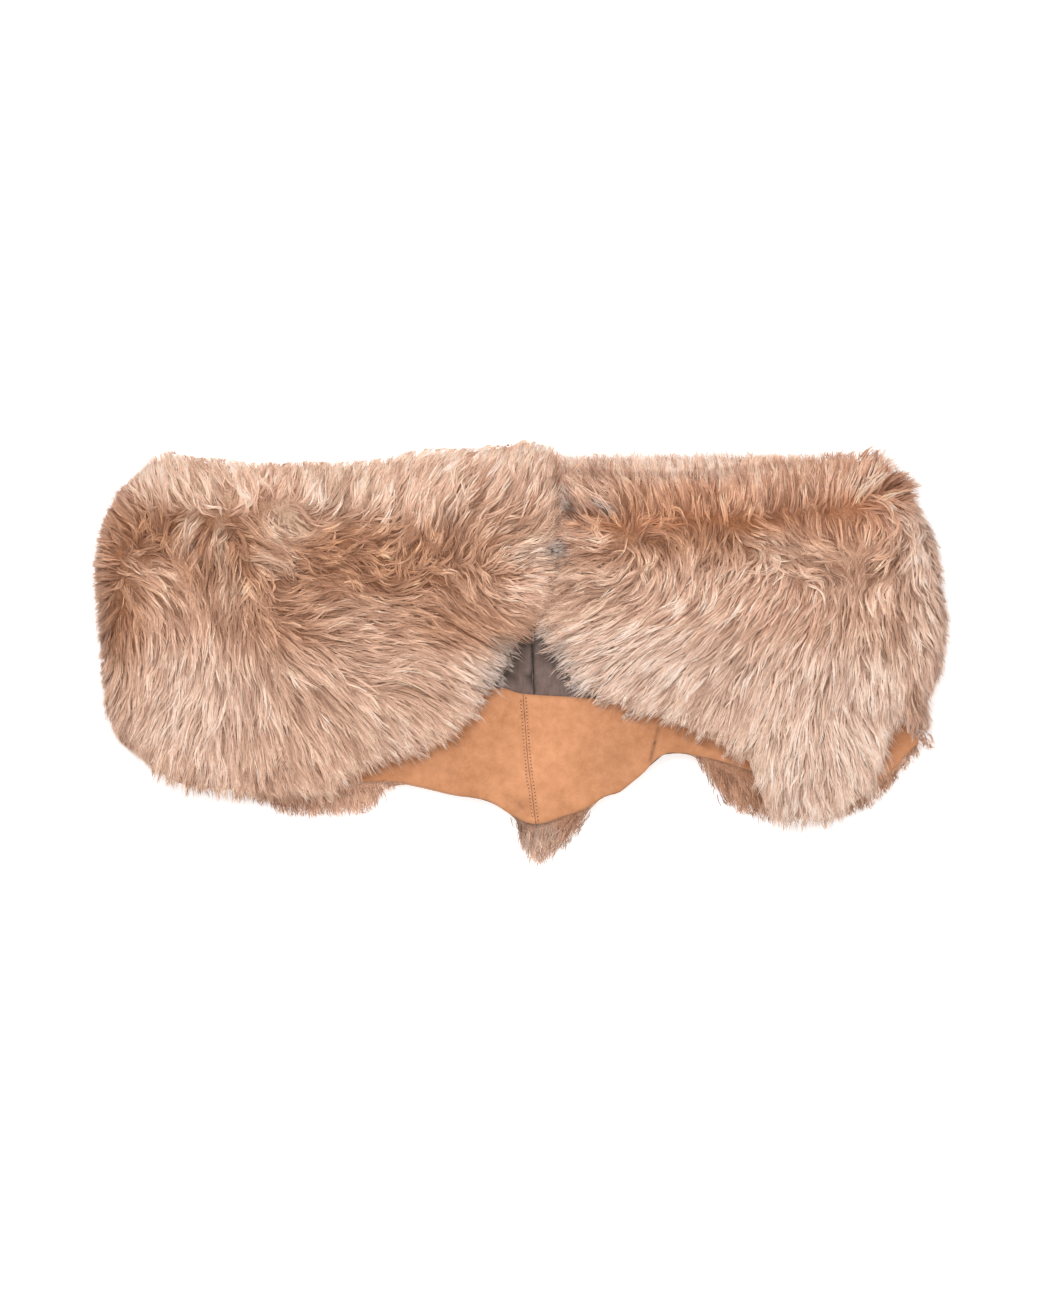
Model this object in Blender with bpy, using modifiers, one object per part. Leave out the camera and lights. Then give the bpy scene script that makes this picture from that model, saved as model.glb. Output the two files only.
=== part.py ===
"""Fur collar wrap, laid flat: a closed loop of long-haired lambskin with the fur outside.

Two front panels meet edge to edge at the centre front and turn back round a fold at each side, where
they are sewn to the two back panels. The back lies pile down. Its flesh side is grey-brown suede, and
a facing of tan suede with a free upper edge lies on the lower half of it. The front hems rise to the
middle, so that both show there.

Each leather piece is a thin wall and each pile is a solid of its own, 0.3 mm apart at the seams. The
sizes are real ones in millimetres: +X to the right as seen from above, +Y towards the neck edge and
+Z up from the surface that the wrap lies on. Left is the half at -X.
"""

from collections import namedtuple

import bpy
import numpy as np

MM = 0.001

# Thicknesses, from the bottom layer to the top one.
BACK_PILE = 15.0
SEAM = 0.3
ROOTS = 0.45
SKIN = 1.5
FACING = 1.2
HOLLOW = 2.3
FRONT_PILE = 20.0
SIDE_PILE = 20.0
EDGE_PILE = 1.4

# Where the flesh sides lie above the back pile, and the tight turn of the skin at each side.
BACK_FLESH = SEAM + SKIN
FACING_BOTTOM = BACK_FLESH + SEAM
FRONT_FLESH = FACING_BOTTOM + FACING + HOLLOW
FOLD_RADIUS = (FRONT_FLESH - BACK_FLESH) / 2
PILE_ROOT = SKIN + ROOTS
FOLD_INSET = SIDE_PILE + PILE_ROOT + FOLD_RADIUS

# How far the hair reaches past the cut edges, and how far it sinks there. At the centre front the skins
# end short of the parting, where the two piles meet.
FRONT_OVERHANG = 14.0
NECK_OVERHANG = 12.0
FRONT_EDGE = 2.0
PARTING = 0.7
DROOP = 3.0

# How far from each edge the pile has its whole thickness. The side and the underside are rounder.
HEM_ROUND = ((-90, 12), (0, 24), (90, 40))
NECK_ROUND = ((-90, 12), (0, 22), (90, 26))
FRONT_EDGE_ROUND = 20.0
FRONT_EDGE_SINK = 0.6
FRINGE_HEIGHT = 4.5

# The grids: rows over the skin, rows over the hair past its edges, and columns round the side fold. The
# last column lies under the wrap, on the side seam.
FRONT_ROWS = 21
BACK_ROWS = 15
FACING_ROWS = 7
TIP_SHARES = np.array((0.0, 0.36, 0.7))
FRONT_SHARES = (0, 0.34, 0.67)
FOLD_SHARES = (0.4, 0.75)
BACK_SHARES = (0, 0.19, 0.43, 0.62)
SIDE_SHARES = (0.5, 1)
TURN_ANGLES = np.array((90, 62, 34, 8, -16, -40, -64, -90, -90))

# Each line in the tables is a few points that one smooth curve joins: (x, y) for an edge across the
# wrap, (y, x) for one along it, and (angle, y) for an edge on its way round the side fold. back_corner
# is (y, how far the back sticks out past the line of the side seam, below the end of that seam).
Half = namedtuple(
    "Half", "name side neck hem side_line side_seam back_corner turn_neck turn_hem columns back_columns"
)
Swell = namedtuple("Swell", "x y reach_x reach_y height")

CENTRE_FRONT = ((18, 13), (45, 25), (81, 32), (135, 32), (183, 29))
CENTRE_BACK = ((-190, 13), (-155, 13), (-128, 9), (-101, 6), (-42, 9), (4, 10), (175, 10))
FACING_SEAM = ((-160, 13), (-153, 12), (-128, 9), (-101, 5.5), (-61, 2.5), (-42, 1))

LEFT = Half(
    name="left",
    side=-1,
    neck=((-342, 167), (-332, 174), (-288, 175), (-234, 169), (-190, 170), (-140, 172), (-84, 182),
          (-36, 186), (-8, 190), (6, 193), (16, 184), (29, 181)),
    hem=((-342, -105), (-325, -117), (-307, -127), (-288, -130), (-239, -133), (-185, -134),
         (-170, -131), (-149, -117), (-125, -104), (-95, -97), (-72, -88), (-54, -76), (-36, -50),
         (-21, -33), (-7, -5), (13, 16)),
    side_line=((-90, -357), (-80, -363), (-54, -373), (-27, -378), (2, -380), (45, -383.8),
               (81, -383), (99, -381), (114, -378), (124, -373), (140, -362), (157, -352)),
    side_seam=((-200, -328), (200, -318)),
    back_corner=((-100, 0), (-79, 0)),
    turn_neck=((-90, 156), (0, 159), (90, 171)),
    turn_hem=((-90, -96), (0, -92), (90, -107)),
    columns=(0, -12, -26, -42, -56, -74, -96, -124, -148, -171, -200, -230, -260, -288, -309),
    back_columns=(-24, -44, -70, -96, -108, -120, -131, -142, -164, -206, -240, -270, -297),
)
RIGHT = Half(
    name="right",
    side=1,
    neck=((29, 164), (60, 160), (108, 158), (162, 159), (216, 165), (252, 171), (297, 176),
          (322, 177), (336, 172), (346, 160)),
    hem=((13, 16), (22, -2), (36, -22), (50, -36), (63, -42), (90, -57), (126, -68), (162, -84),
         (193, -101), (206, -111), (213, -132), (221, -150), (245, -157), (270, -156), (290, -149),
         (306, -139), (317, -127), (325, -106), (331, -84), (340, -69), (348, -67)),
    side_line=((-92, 362), (-75, 370), (-60, 368), (-45, 368), (-36, 372), (-24, 377), (-10, 380),
               (18, 383.8), (47, 381), (75, 376), (101, 369), (116, 363), (130, 356), (142, 348),
               (160, 342)),
    side_seam=((-200, 355), (200, 306)),
    back_corner=((-100, 18), (-90, 9), (-79, 0)),
    turn_neck=((-90, 155), (0, 159), (90, 172)),
    turn_hem=((-90, -65), (0, -79), (90, -68)),
    columns=(44, 62, 84, 106, 128, 150, 172, 190, 204, 213, 221, 238, 262, 286, 304),
    back_columns=(48, 58, 70, 92, 116, 140, 158, 168, 176, 186, 201, 222, 250, 278, 300),
)

# The back and its facing, across both halves. The fringe is the hair past the back's hem: in lobes,
# and in a tail at the middle seam.
BACK_NECK = ((-342, 156), (-250, 161), (0, 163), (250, 163), (350, 155))
BACK_HEM = ((-342, -98), (-315, -106), (-250, -114), (-200, -118), (-149, -119), (-110, -120),
            (-95, -123), (-66, -130), (-25, -139), (-9, -149), (9, -157), (16, -157), (36, -151),
            (58, -143), (76, -132), (89, -128), (99, -120), (112, -109), (119, -101), (127, -95),
            (143, -93), (161, -96), (182, -101), (195, -105), (213, -112), (228, -122), (262, -134),
            (298, -134), (320, -122), (336, -108), (352, -90))
FRINGE = ((-342, 3), (-310, 8), (-245, 16), (-231, 25), (-217, 29), (-206, 30), (-164, 28.5),
          (-142, 25), (-131, 13), (-120, 7), (-105, 2), (-10, 1.5), (-3, 9), (6, 32.6), (14, 35.8),
          (21, 33.6), (34, 26), (48, 18), (58, 7), (70, 1.5), (152, 1.5), (160, 6), (168, 16),
          (176, 25), (186, 33), (201, 37), (222, 30), (250, 20), (278, 16), (300, 14), (330, 13),
          (350, 9))
FACING_NECK = ((-342, -28), (-150, -28), (-60, -31), (-18, -34), (-2, -39), (12, -40.5), (28, -41.5),
               (49, -42.5), (150, -42), (350, -38))

# Soft rises and hollows that the layers share, because they lie on each other.
LAY = (
    Swell(35, -70, 70, 45, 2.4),
    Swell(-82, -112, 50, 40, -2.4),
    Swell(92, -118, 45, 40, -2.8),
    Swell(205, -95, 65, 55, 1.6),
    Swell(-230, 20, 120, 90, 1.4),
    Swell(260, 30, 110, 90, 1.2),
)

# Crests, partings and whorls of the front pile, over its mean thickness.
LEFT_TUFTS = (
    Swell(-300, 145, 60, 24, 3.0),
    Swell(-150, 148, 110, 24, 3.4),
    Swell(-20, 150, 60, 32, 4.2),
    Swell(-190, 104, 95, 16, -4.6),
    Swell(-60, 94, 60, 20, -3.0),
    Swell(-334, 74, 28, 28, 4.4),
    Swell(-282, 92, 24, 24, 4.2),
    Swell(-228, 72, 30, 24, 5.2),
    Swell(-250, 40, 90, 16, -2.8),
    Swell(-120, 58, 60, 22, 2.8),
    Swell(-10, 62, 36, 28, 3.0),
    Swell(-250, -40, 100, 46, 2.4),
    Swell(-110, -30, 70, 40, 1.8),
)
RIGHT_TUFTS = (
    Swell(70, 140, 26, 20, 2.8),
    Swell(190, 142, 100, 18, 4.4),
    Swell(305, 158, 46, 20, 4.6),
    Swell(110, 114, 60, 13, -5.0),
    Swell(200, 118, 60, 13, -5.0),
    Swell(290, 136, 50, 13, -4.4),
    Swell(120, 86, 60, 17, 3.2),
    Swell(250, 92, 70, 22, 3.6),
    Swell(330, 90, 32, 34, 3.4),
    Swell(90, 30, 50, 40, 2.2),
    Swell(210, -10, 80, 50, 2.6),
    Swell(270, -100, 50, 36, 2.4),
    Swell(334, -52, 9, 26, -5.0),
)


# Curves and surfaces, in millimetres.


def curve(points, at):
    """The smooth curve through the points: a cubic between each two, whose slope at a point is that
    between its neighbours. Past the ends it keeps the end value."""
    knots, values = np.array(points, float).T
    slopes = np.gradient(values, knots)
    at = np.clip(at, knots[0], knots[-1])
    i = np.clip(np.searchsorted(knots, at, side="right") - 1, 0, len(knots) - 2)
    span = knots[i + 1] - knots[i]
    t = (at - knots[i]) / span
    rise = 3 * t**2 - 2 * t**3
    start_slope = span * slopes[i] * (t**3 - 2 * t**2 + t)
    end_slope = span * slopes[i + 1] * (t**3 - t**2)
    return values[i] * (1 - rise) + values[i + 1] * rise + start_slope + end_slope


def swells(table, x, y):
    """The sum of the table's bell-shaped rises at (x, y)."""
    total = np.zeros(np.broadcast(x, y).shape)
    for s in table:
        total += s.height * np.exp(-(((x - s.x) / s.reach_x) ** 2) - ((y - s.y) / s.reach_y) ** 2)
    return total


def back_top(x, y):
    """The height of the top of the back pile, on which all the other layers lie."""
    return BACK_PILE + swells(LAY, x, y)


def rounded(distance, reach):
    """A quarter ellipse: 0 at an edge, 1 from the reach inwards."""
    return np.sqrt(1 - (1 - np.clip(distance / reach, 0, 1)) ** 2)


def rows(hem, neck, past_hem, past_neck, count, with_hair):
    """The y of each row, for columns that run from the hem to the neck edge of the hair. The rows are
    even over the skin, and with_hair adds the ones over the hair past its two edges."""
    share = np.linspace(0, 1, count)[:, None]
    skin = (hem + past_hem) * (1 - share) + (neck - past_neck) * share
    if not with_hair:
        return skin
    tips = TIP_SHARES[:, None]
    return np.concatenate([hem + past_hem * tips, skin, neck - past_neck * tips[::-1]])


def fan(start, straight, end, start_shares, end_shares):
    """The x of columns between two lines. The middle ones are straight, the first ones lie at shares of
    the way from the start to the first straight one, and the last ones of that to the end."""
    x = np.array([straight[0]] * len(start_shares) + [*straight] + [straight[-1]] * len(end_shares))
    to_start = np.append(1 - np.array(start_shares), np.zeros(len(straight) + len(end_shares)))
    to_end = np.append(np.zeros(len(start_shares) + len(straight)), end_shares)
    return x + to_start * (start - x) + to_end * (end - x)


def fold_line(half, y):
    """The x about which the skin turns at the side."""
    return curve(half.side_line, y) - half.side * FOLD_INSET


# The front panels: each is a row of sections, which run from the centre front out over the top, round
# the side fold and back under it to the side seam.

Sections = namedtuple("Sections", "x y z angle hem neck")


def across(half, y, edge):
    """The x of the columns on top of the wrap, from the centre front to the side fold."""
    start = curve(CENTRE_FRONT, y) + half.side * edge
    return fan(start, half.columns, fold_line(half, y), FRONT_SHARES, FOLD_SHARES)


def front_sections(half, edge, with_hair):
    """The line about which each column turns, at each row, and the angle to which it has turned."""
    flat = np.full(len(FRONT_SHARES) + len(half.columns) + len(FOLD_SHARES), TURN_ANGLES[0])
    hem_y, neck_y = curve(half.turn_hem, flat), curve(half.turn_neck, flat)
    hem = np.append(curve(half.hem, across(half, hem_y, edge)), curve(half.turn_hem, TURN_ANGLES))
    neck = np.append(curve(half.neck, across(half, neck_y, edge)), curve(half.turn_neck, TURN_ANGLES))
    y = rows(hem, neck, FRONT_OVERHANG, NECK_OVERHANG, FRONT_ROWS, with_hair)
    x = fold_line(half, y)
    x[:, : len(flat)] = across(half, y[:, : len(flat)], edge)
    x[:, -1] = curve(half.side_seam, y[:, -1])
    z = back_top(x, y) + BACK_FLESH + FOLD_RADIUS
    return Sections(x, y, z, np.append(flat, TURN_ANGLES), hem, neck)


def on_sections(half, at, out, up, down):
    """Points at the distances out, up and down from the lines of the sections."""
    angle = np.radians(at.angle)
    x = at.x + half.side * out * np.cos(angle)
    z = at.z + np.where(at.angle > 0, up, down) * np.sin(angle)
    return np.stack([x, at.y, z], axis=-1)


def flesh_side(half, at):
    return on_sections(half, at, FOLD_RADIUS, FOLD_RADIUS, FOLD_RADIUS)


def normals(points, side):
    """The unit vectors that stand on a grid of points, up or outwards."""
    along, across = np.gradient(points, axis=(0, 1))
    upright = np.cross(across, along) * side
    return upright / np.linalg.norm(upright, axis=-1, keepdims=True)


def front_skin(half, material):
    flesh = flesh_side(half, front_sections(half, FRONT_EDGE, with_hair=False))
    return leather(f"{half.name}_front_skin", flesh, half.side, SKIN, material)


def front_fur(half, tufts, material):
    at = front_sections(half, PARTING / 2, with_hair=True)
    past_hem = np.clip(1 - (at.y - at.hem) / FRONT_OVERHANG, 0, 1)
    past_neck = np.clip(1 - (at.neck - at.y) / NECK_OVERHANG, 0, 1)
    sink = DROOP * (past_hem**2 + past_neck**2) * (at.angle > 0) * np.sin(np.radians(at.angle))
    flesh = flesh_side(half, at)
    inside = flesh + PILE_ROOT * normals(flesh, half.side)
    inside[..., 2] -= sink
    at = at._replace(z=at.z - sink)

    full = rounded(at.y - at.hem, curve(HEM_ROUND, at.angle))
    full = full * rounded(at.neck - at.y, curve(NECK_ROUND, at.angle))
    from_centre = np.abs(at.x - curve(CENTRE_FRONT, at.y))
    full = full * (1 - FRONT_EDGE_SINK * (1 - rounded(from_centre, FRONT_EDGE_ROUND)))

    edge = FOLD_RADIUS + PILE_ROOT + EDGE_PILE
    up = edge + (FRONT_PILE + swells(tufts, at.x, at.y) - EDGE_PILE) * full
    out = edge + (SIDE_PILE - EDGE_PILE) * full
    down = edge + (at.z - edge) * full
    outside = on_sections(half, at, out, up, down)
    return pile(f"{half.name}_front_fur", inside, outside, half.side, material)


# The back panels and the facing: their columns run from the middle seam out to the side seam.


def back_grid(half, seam, hem, neck, past_hem, past_neck, count, with_hair):
    """The x and y of a back piece, from the middle seam to the side seam, and how far its hair reaches
    past the hem of each column."""

    def columns(y):
        start = curve(seam, y) + half.side * SEAM / 2
        corner = np.interp(y, *np.array(half.back_corner).T)
        end = curve(half.side_seam, y) + half.side * (corner - SEAM)
        return fan(start, half.back_columns, end, BACK_SHARES, SIDE_SHARES)

    lower = columns(half.turn_hem[0][1])
    upper = columns(half.turn_neck[0][1])
    past = np.interp(lower, *np.array(past_hem).T)
    y = rows(curve(hem, lower) - past, curve(neck, upper) + past_neck, past, past_neck, count, with_hair)
    return columns(y), y, past


def back_skin(half, material):
    x, y, _ = back_grid(half, CENTRE_BACK, BACK_HEM, BACK_NECK, FRINGE, NECK_OVERHANG, BACK_ROWS, False)
    points = np.stack([x, y, back_top(x, y) + SEAM], axis=-1)
    return leather(f"{half.name}_back_skin", points, half.side, SKIN, material)


def facing(half, material):
    x, y, _ = back_grid(half, FACING_SEAM, BACK_HEM, FACING_NECK, FRINGE, 0, FACING_ROWS, False)
    points = np.stack([x, y, back_top(x, y) + FACING_BOTTOM], axis=-1)
    return leather(f"{half.name}_facing", points, half.side, FACING, material)


def back_fur(half, material):
    x, y, past = back_grid(half, CENTRE_BACK, BACK_HEM, BACK_NECK, FRINGE, NECK_OVERHANG, BACK_ROWS, True)
    past_hem = np.clip(1 - (y - y[0]) / past, 0, 1)
    past_neck = np.clip(1 - (y[-1] - y) / NECK_OVERHANG, 0, 1)
    thin = past_hem**2 + past_neck**2
    top = back_top(x, y)
    upper = top - (top - FRINGE_HEIGHT) * thin
    lower = (FRINGE_HEIGHT - EDGE_PILE) * thin**2
    return pile(
        f"{half.name}_back_fur",
        np.stack([x, y, lower], axis=-1),
        np.stack([x, y, upper], axis=-1),
        half.side,
        material,
    )


# Objects.


def grid_faces(shape, side):
    """The quads over a grid of rows and columns, turned so that they face up or outwards. The columns
    of the left half run towards -X, which turns them over."""
    index = np.arange(shape[0] * shape[1]).reshape(shape)
    quads = np.stack([index[:-1, :-1], index[:-1, 1:], index[1:, 1:], index[1:, :-1]], axis=-1)
    return quads.reshape(-1, 4)[:, ::side]


def add_object(name, points, faces, material):
    mesh = bpy.data.meshes.new(name)
    mesh.from_pydata((points.reshape(-1, 3) * MM).tolist(), [], faces.tolist())
    mesh.shade_smooth()
    mesh.materials.append(material)
    obj = bpy.data.objects.new(name, mesh)
    bpy.data.collections[COLLECTION].objects.link(obj)
    return obj


def leather(name, points, side, thickness, material):
    """A sheet of leather: an open surface, with its thickness added towards where it faces."""
    obj = add_object(name, points, grid_faces(points.shape[:2], side), material)
    solidify = obj.modifiers.new("Thickness", "SOLIDIFY")
    solidify.thickness = thickness * MM
    solidify.offset = 1
    return obj


def pile(name, inside, outside, side, material):
    """A pile of hair: a closed loft between two unlike surfaces, which face each other along a rim."""
    over = grid_faces(outside.shape[:2], side)
    index = np.arange(inside[..., 0].size).reshape(inside.shape[:2])
    rim = np.concatenate([index[0, :-1], index[:-1, -1], index[-1, :0:-1], index[:0:-1, 0]])[::side]
    after = np.roll(rim, -1)
    walls = np.stack([rim, after, after + index.size, rim + index.size], axis=-1)
    # The inner quads begin at the same corner, so that they split along the same diagonals as the skin.
    under = over[:, (0, 3, 2, 1)]
    faces = np.concatenate([under, over + index.size, walls])
    return add_object(name, np.concatenate([inside, outside]), faces, material)


def principled(name, colour, roughness):
    made = bpy.data.materials.new(name)
    made.use_nodes = True
    shader = made.node_tree.nodes["Principled BSDF"]
    shader.inputs["Base Color"].default_value = (*colour, 1)
    shader.inputs["Roughness"].default_value = roughness
    shader.inputs["Metallic"].default_value = 0.0
    return made


COLLECTION = "fur_collar_wrap"
FUR_COLOUR = (0.61, 0.37, 0.25)
BACK_FUR_COLOUR = (0.44, 0.23, 0.14)
SKIN_COLOUR = (0.55, 0.32, 0.19)
FLESH_COLOUR = (0.16, 0.10, 0.075)
FACING_COLOUR = (0.55, 0.24, 0.10)

for obj in list(bpy.data.objects):
    bpy.data.objects.remove(obj)
bpy.context.scene.collection.children.link(bpy.data.collections.new(COLLECTION))

for half, tufts in ((LEFT, LEFT_TUFTS), (RIGHT, RIGHT_TUFTS)):
    back_fur(half, principled(f"{half.name}_back_fur", BACK_FUR_COLOUR, 0.9))
    back_skin(half, principled(f"{half.name}_back_skin", FLESH_COLOUR, 0.95))
    facing(half, principled(f"{half.name}_facing", FACING_COLOUR, 0.9))
    front_skin(half, principled(f"{half.name}_front_skin", SKIN_COLOUR, 0.9))
    front_fur(half, tufts, principled(f"{half.name}_front_fur", FUR_COLOUR, 0.9))
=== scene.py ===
"""Fur collar wrap, laid flat with the fur outside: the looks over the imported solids.

The sections follow the wrap from the bottom layer to the top one. Lengths are in millimetres until a
mesh is made, +X is right as seen from above, +Y is towards the neck edge and +Z is up.
"""

from collections import namedtuple

import bpy
import numpy as np
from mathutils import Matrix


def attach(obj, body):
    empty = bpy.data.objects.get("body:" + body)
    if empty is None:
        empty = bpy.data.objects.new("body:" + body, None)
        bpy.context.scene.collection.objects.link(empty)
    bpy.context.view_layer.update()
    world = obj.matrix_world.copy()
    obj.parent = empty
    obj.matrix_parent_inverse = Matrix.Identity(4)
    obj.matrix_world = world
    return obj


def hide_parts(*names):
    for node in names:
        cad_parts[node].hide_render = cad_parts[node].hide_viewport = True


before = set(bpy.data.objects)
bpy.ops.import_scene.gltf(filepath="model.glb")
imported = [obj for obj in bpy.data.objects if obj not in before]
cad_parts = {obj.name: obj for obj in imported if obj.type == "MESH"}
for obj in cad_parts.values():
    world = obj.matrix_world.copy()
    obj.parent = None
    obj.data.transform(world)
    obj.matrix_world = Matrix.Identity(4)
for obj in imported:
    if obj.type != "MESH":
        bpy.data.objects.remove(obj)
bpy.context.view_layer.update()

# ---------------------------------------------------------------------------------------------------
# Back skins. Two panels of lambskin lie pile down and are joined by a plain seam down the middle of
# the back. What shows of them is the flesh side, buffed to a matt grey-brown suede, in a small triangle
# below the meeting of the fronts.

MM = 0.001
BACK_PILE = 15.0
SKIN = 1.5
# The gap between pieces where they are sewn, and the height of the flesh side over the pile.
SEAM = 0.3
BACK_FLESH = SEAM + SKIN

# The outlines of each half. neck and hem, of the front's hair, are y by x. side_line, side_seam and
# back_corner are x by y. turn_neck and turn_hem are y by the angle round the side fold, in degrees.
Half = namedtuple("Half", "name side neck hem side_line side_seam back_corner turn_neck turn_hem")
LEFT = Half(
    name="left",
    side=-1,
    neck=((-342, 167), (-332, 174), (-288, 175), (-234, 169), (-190, 170), (-140, 172), (-84, 182),
          (-36, 186), (-8, 190), (6, 193), (16, 184), (29, 181)),
    hem=((-342, -105), (-325, -117), (-307, -127), (-288, -130), (-239, -133), (-185, -134),
         (-170, -131), (-149, -117), (-125, -104), (-95, -97), (-72, -88), (-54, -76), (-36, -50),
         (-21, -33), (-7, -5), (13, 16)),
    side_line=((-90, -357), (-80, -363), (-54, -373), (-27, -378), (2, -380), (45, -383.8),
               (81, -383), (99, -381), (114, -378), (124, -373), (140, -362), (157, -352)),
    side_seam=((-200, -328), (200, -318)),
    back_corner=((-100, 0), (-79, 0)),
    turn_neck=((-90, 156), (0, 159), (90, 171)),
    turn_hem=((-90, -96), (0, -92), (90, -107)),
)
RIGHT = Half(
    name="right",
    side=1,
    neck=((29, 164), (60, 160), (108, 158), (162, 159), (216, 165), (252, 171), (297, 176),
          (322, 177), (336, 172), (346, 160)),
    hem=((13, 16), (22, -2), (36, -22), (50, -36), (63, -42), (90, -57), (126, -68), (162, -84),
         (193, -101), (206, -111), (213, -132), (221, -150), (245, -157), (270, -156), (290, -149),
         (306, -139), (317, -127), (325, -106), (331, -84), (340, -69), (348, -67)),
    side_line=((-92, 362), (-75, 370), (-60, 368), (-45, 368), (-36, 372), (-24, 377), (-10, 380),
               (18, 383.8), (47, 381), (75, 376), (101, 369), (116, 363), (130, 356), (142, 348),
               (160, 342)),
    side_seam=((-200, 355), (200, 306)),
    back_corner=((-100, 18), (-92, 14), (-84, 18), (-68, 18), (-63, 0)),
    turn_neck=((-90, 155), (0, 159), (90, 172)),
    turn_hem=((-90, -65), (0, -79), (90, -68)),
)
CENTRE_BACK = ((-190, 13), (-155, 13), (-128, 9), (-101, 6), (-42, 9), (4, 10), (175, 10))
BACK_NECK = ((-342, 156), (-250, 161), (0, 163), (250, 163), (350, 155))
BACK_HEM = ((-342, -98), (-315, -106), (-250, -114), (-200, -118), (-149, -119), (-110, -120),
            (-95, -123), (-66, -130), (-25, -139), (-9, -149), (9, -157), (16, -157), (36, -151),
            (58, -143), (76, -132), (89, -128), (99, -120), (112, -109), (119, -101), (127, -95),
            (143, -93), (161, -96), (182, -101), (195, -105), (213, -112), (228, -122), (262, -134),
            (298, -134), (320, -122), (336, -108), (352, -90), (364, -80))

# Soft rises and hollows that all the layers share: x, y, reach in x, reach in y, height.
LAY = (
    (35, -70, 70, 45, 2.4), (-82, -112, 50, 40, -2.4), (92, -118, 45, 40, -2.8),
    (205, -95, 65, 55, 1.6), (-230, 20, 120, 90, 1.4), (260, 30, 110, 90, 1.2),
)


def curve(points, at):
    """A cubic between each two points, with the slope between a point's neighbours at it."""
    knots, values = np.array(points, float).T
    slopes = np.gradient(values, knots)
    at = np.clip(at, knots[0], knots[-1])
    i = np.clip(np.searchsorted(knots, at, side="right") - 1, 0, len(knots) - 2)
    span = knots[i + 1] - knots[i]
    t = (at - knots[i]) / span
    rise = 3 * t**2 - 2 * t**3
    bend = span * (slopes[i] * (t**3 - 2 * t**2 + t) + slopes[i + 1] * (t**3 - t**2))
    return values[i] * (1 - rise) + values[i + 1] * rise + bend


def straight(points, at):
    """A straight line between each two points."""
    return np.interp(at, *np.array(points).T)


def fall(distance, width):
    """exp(-(distance / width)^2)"""
    return np.exp(-((distance / width) ** 2))


def bell(x, y, at_x, at_y, reach_x, reach_y):
    """exp(-(dx / reach_x)^2 - (dy / reach_y)^2)"""
    return np.exp(-(((x - at_x) / reach_x) ** 2) - ((y - at_y) / reach_y) ** 2)


def bells(table, x, y):
    """The sum of bells, each times its height."""
    return sum(height * bell(x, y, *place) for *place, height in table)


def side_end(half, y):
    """The x at which a back piece ends: at the side seam, and further out at the lower corner."""
    return curve(half.side_seam, y) + half.side * (straight(half.back_corner, y) - SEAM)


def back_top(x, y):
    """The height of the tops of the back's pressed pile off the surface: its mean and the shared lay."""
    return BACK_PILE + bells(LAY, x, y)


def between(lower, upper, start, end, along, up):
    """The grid of points (x, y) between two edges given as y of x, lower and upper, and two given as x
    of y, start and end. Each depends on the other, so a few rounds settle both."""
    x = start(0 * up) * (1 - along) + end(0 * up) * along
    for _ in range(6):
        y = lower(x) * (1 - up) + upper(x) * up
        x = start(y) * (1 - along) + end(y) * along
    return x, y


def back_grid(half, across, up, hem, neck, middle=CENTRE_BACK, gap=SEAM / 2):
    """x and y of a grid over a back piece, from the seam in the middle to its side."""
    return between(hem, neck, lambda y: curve(middle, y) + half.side * gap, lambda y: side_end(half, y),
                   across[None, :], up[:, None])


def add_mesh(name, points, loops, sizes, materials):
    """A mesh from whole arrays: points in millimetres, the corners of all faces in a row, and how many
    corners each face has."""
    mesh = bpy.data.meshes.new(name)
    mesh.vertices.add(len(points))
    mesh.vertices.foreach_set("co", (points * MM).astype(np.float32).ravel())
    mesh.loops.add(len(loops))
    mesh.loops.foreach_set("vertex_index", loops.astype(np.int32))
    mesh.polygons.add(len(sizes))
    mesh.polygons.foreach_set("loop_start", np.concatenate([[0], np.cumsum(sizes)[:-1]]).astype(np.int32))
    mesh.update(calc_edges=True)
    mesh.shade_smooth()
    for material in materials:
        mesh.materials.append(material)
    piece = bpy.data.objects.new(name, mesh)
    bpy.context.scene.collection.objects.link(piece)
    return piece


def grid_quads(shape, side):
    """The quads over a grid of rows and columns. The columns of the left half run the other way."""
    index = np.arange(shape[0] * shape[1]).reshape(shape)
    quads = np.stack([index[:-1, :-1], index[:-1, 1:], index[1:, 1:], index[1:, :-1]], axis=-1)
    return quads.reshape(-1, 4)[:, ::side]


def leather(name, points, side, thickness, material):
    """A sheet of leather: an open surface with its thickness added towards where it faces."""
    quads = grid_quads(points.shape[:2], side)
    piece = add_mesh(name, points.reshape(-1, 3), quads.ravel(), np.full(len(quads), 4), [material])
    wall = piece.modifiers.new("Thickness", "SOLIDIFY")
    wall.thickness = thickness * MM
    wall.offset = 1
    return piece


def linear(colour):
    """The linear red, green, blue and alpha of an sRGB hex value."""
    s = np.array([int(colour[i : i + 2], 16) for i in (1, 3, 5)]) / 255
    return (*np.where(s <= 0.04045, s / 12.92, ((s + 0.055) / 1.055) ** 2.4), 1.0)


def new_material(name):
    """A material, with its node tree and its shader."""
    material = bpy.data.materials.new(name)
    material.use_nodes = True
    return material, material.node_tree, material.node_tree.nodes["Principled BSDF"]


def set_inputs(tree, node, **inputs):
    """Sets each input to a value, or links it to a socket. An input's name is written with _ for each
    blank, or as i and its number."""
    for key, value in inputs.items():
        socket = node.inputs[int(key[1:])] if key[1:].isdigit() else node.inputs[key.replace("_", " ")]
        if isinstance(value, bpy.types.NodeSocket):
            tree.links.new(value, socket)
        else:
            socket.default_value = value


def add_node(tree, kind, settings=(), **inputs):
    """A node of this kind, with its settings and inputs."""
    made = tree.nodes.new("ShaderNode" + kind)
    for key, value in dict(settings).items():
        setattr(made, key, value)
    set_inputs(tree, made, **inputs)
    return made


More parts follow.
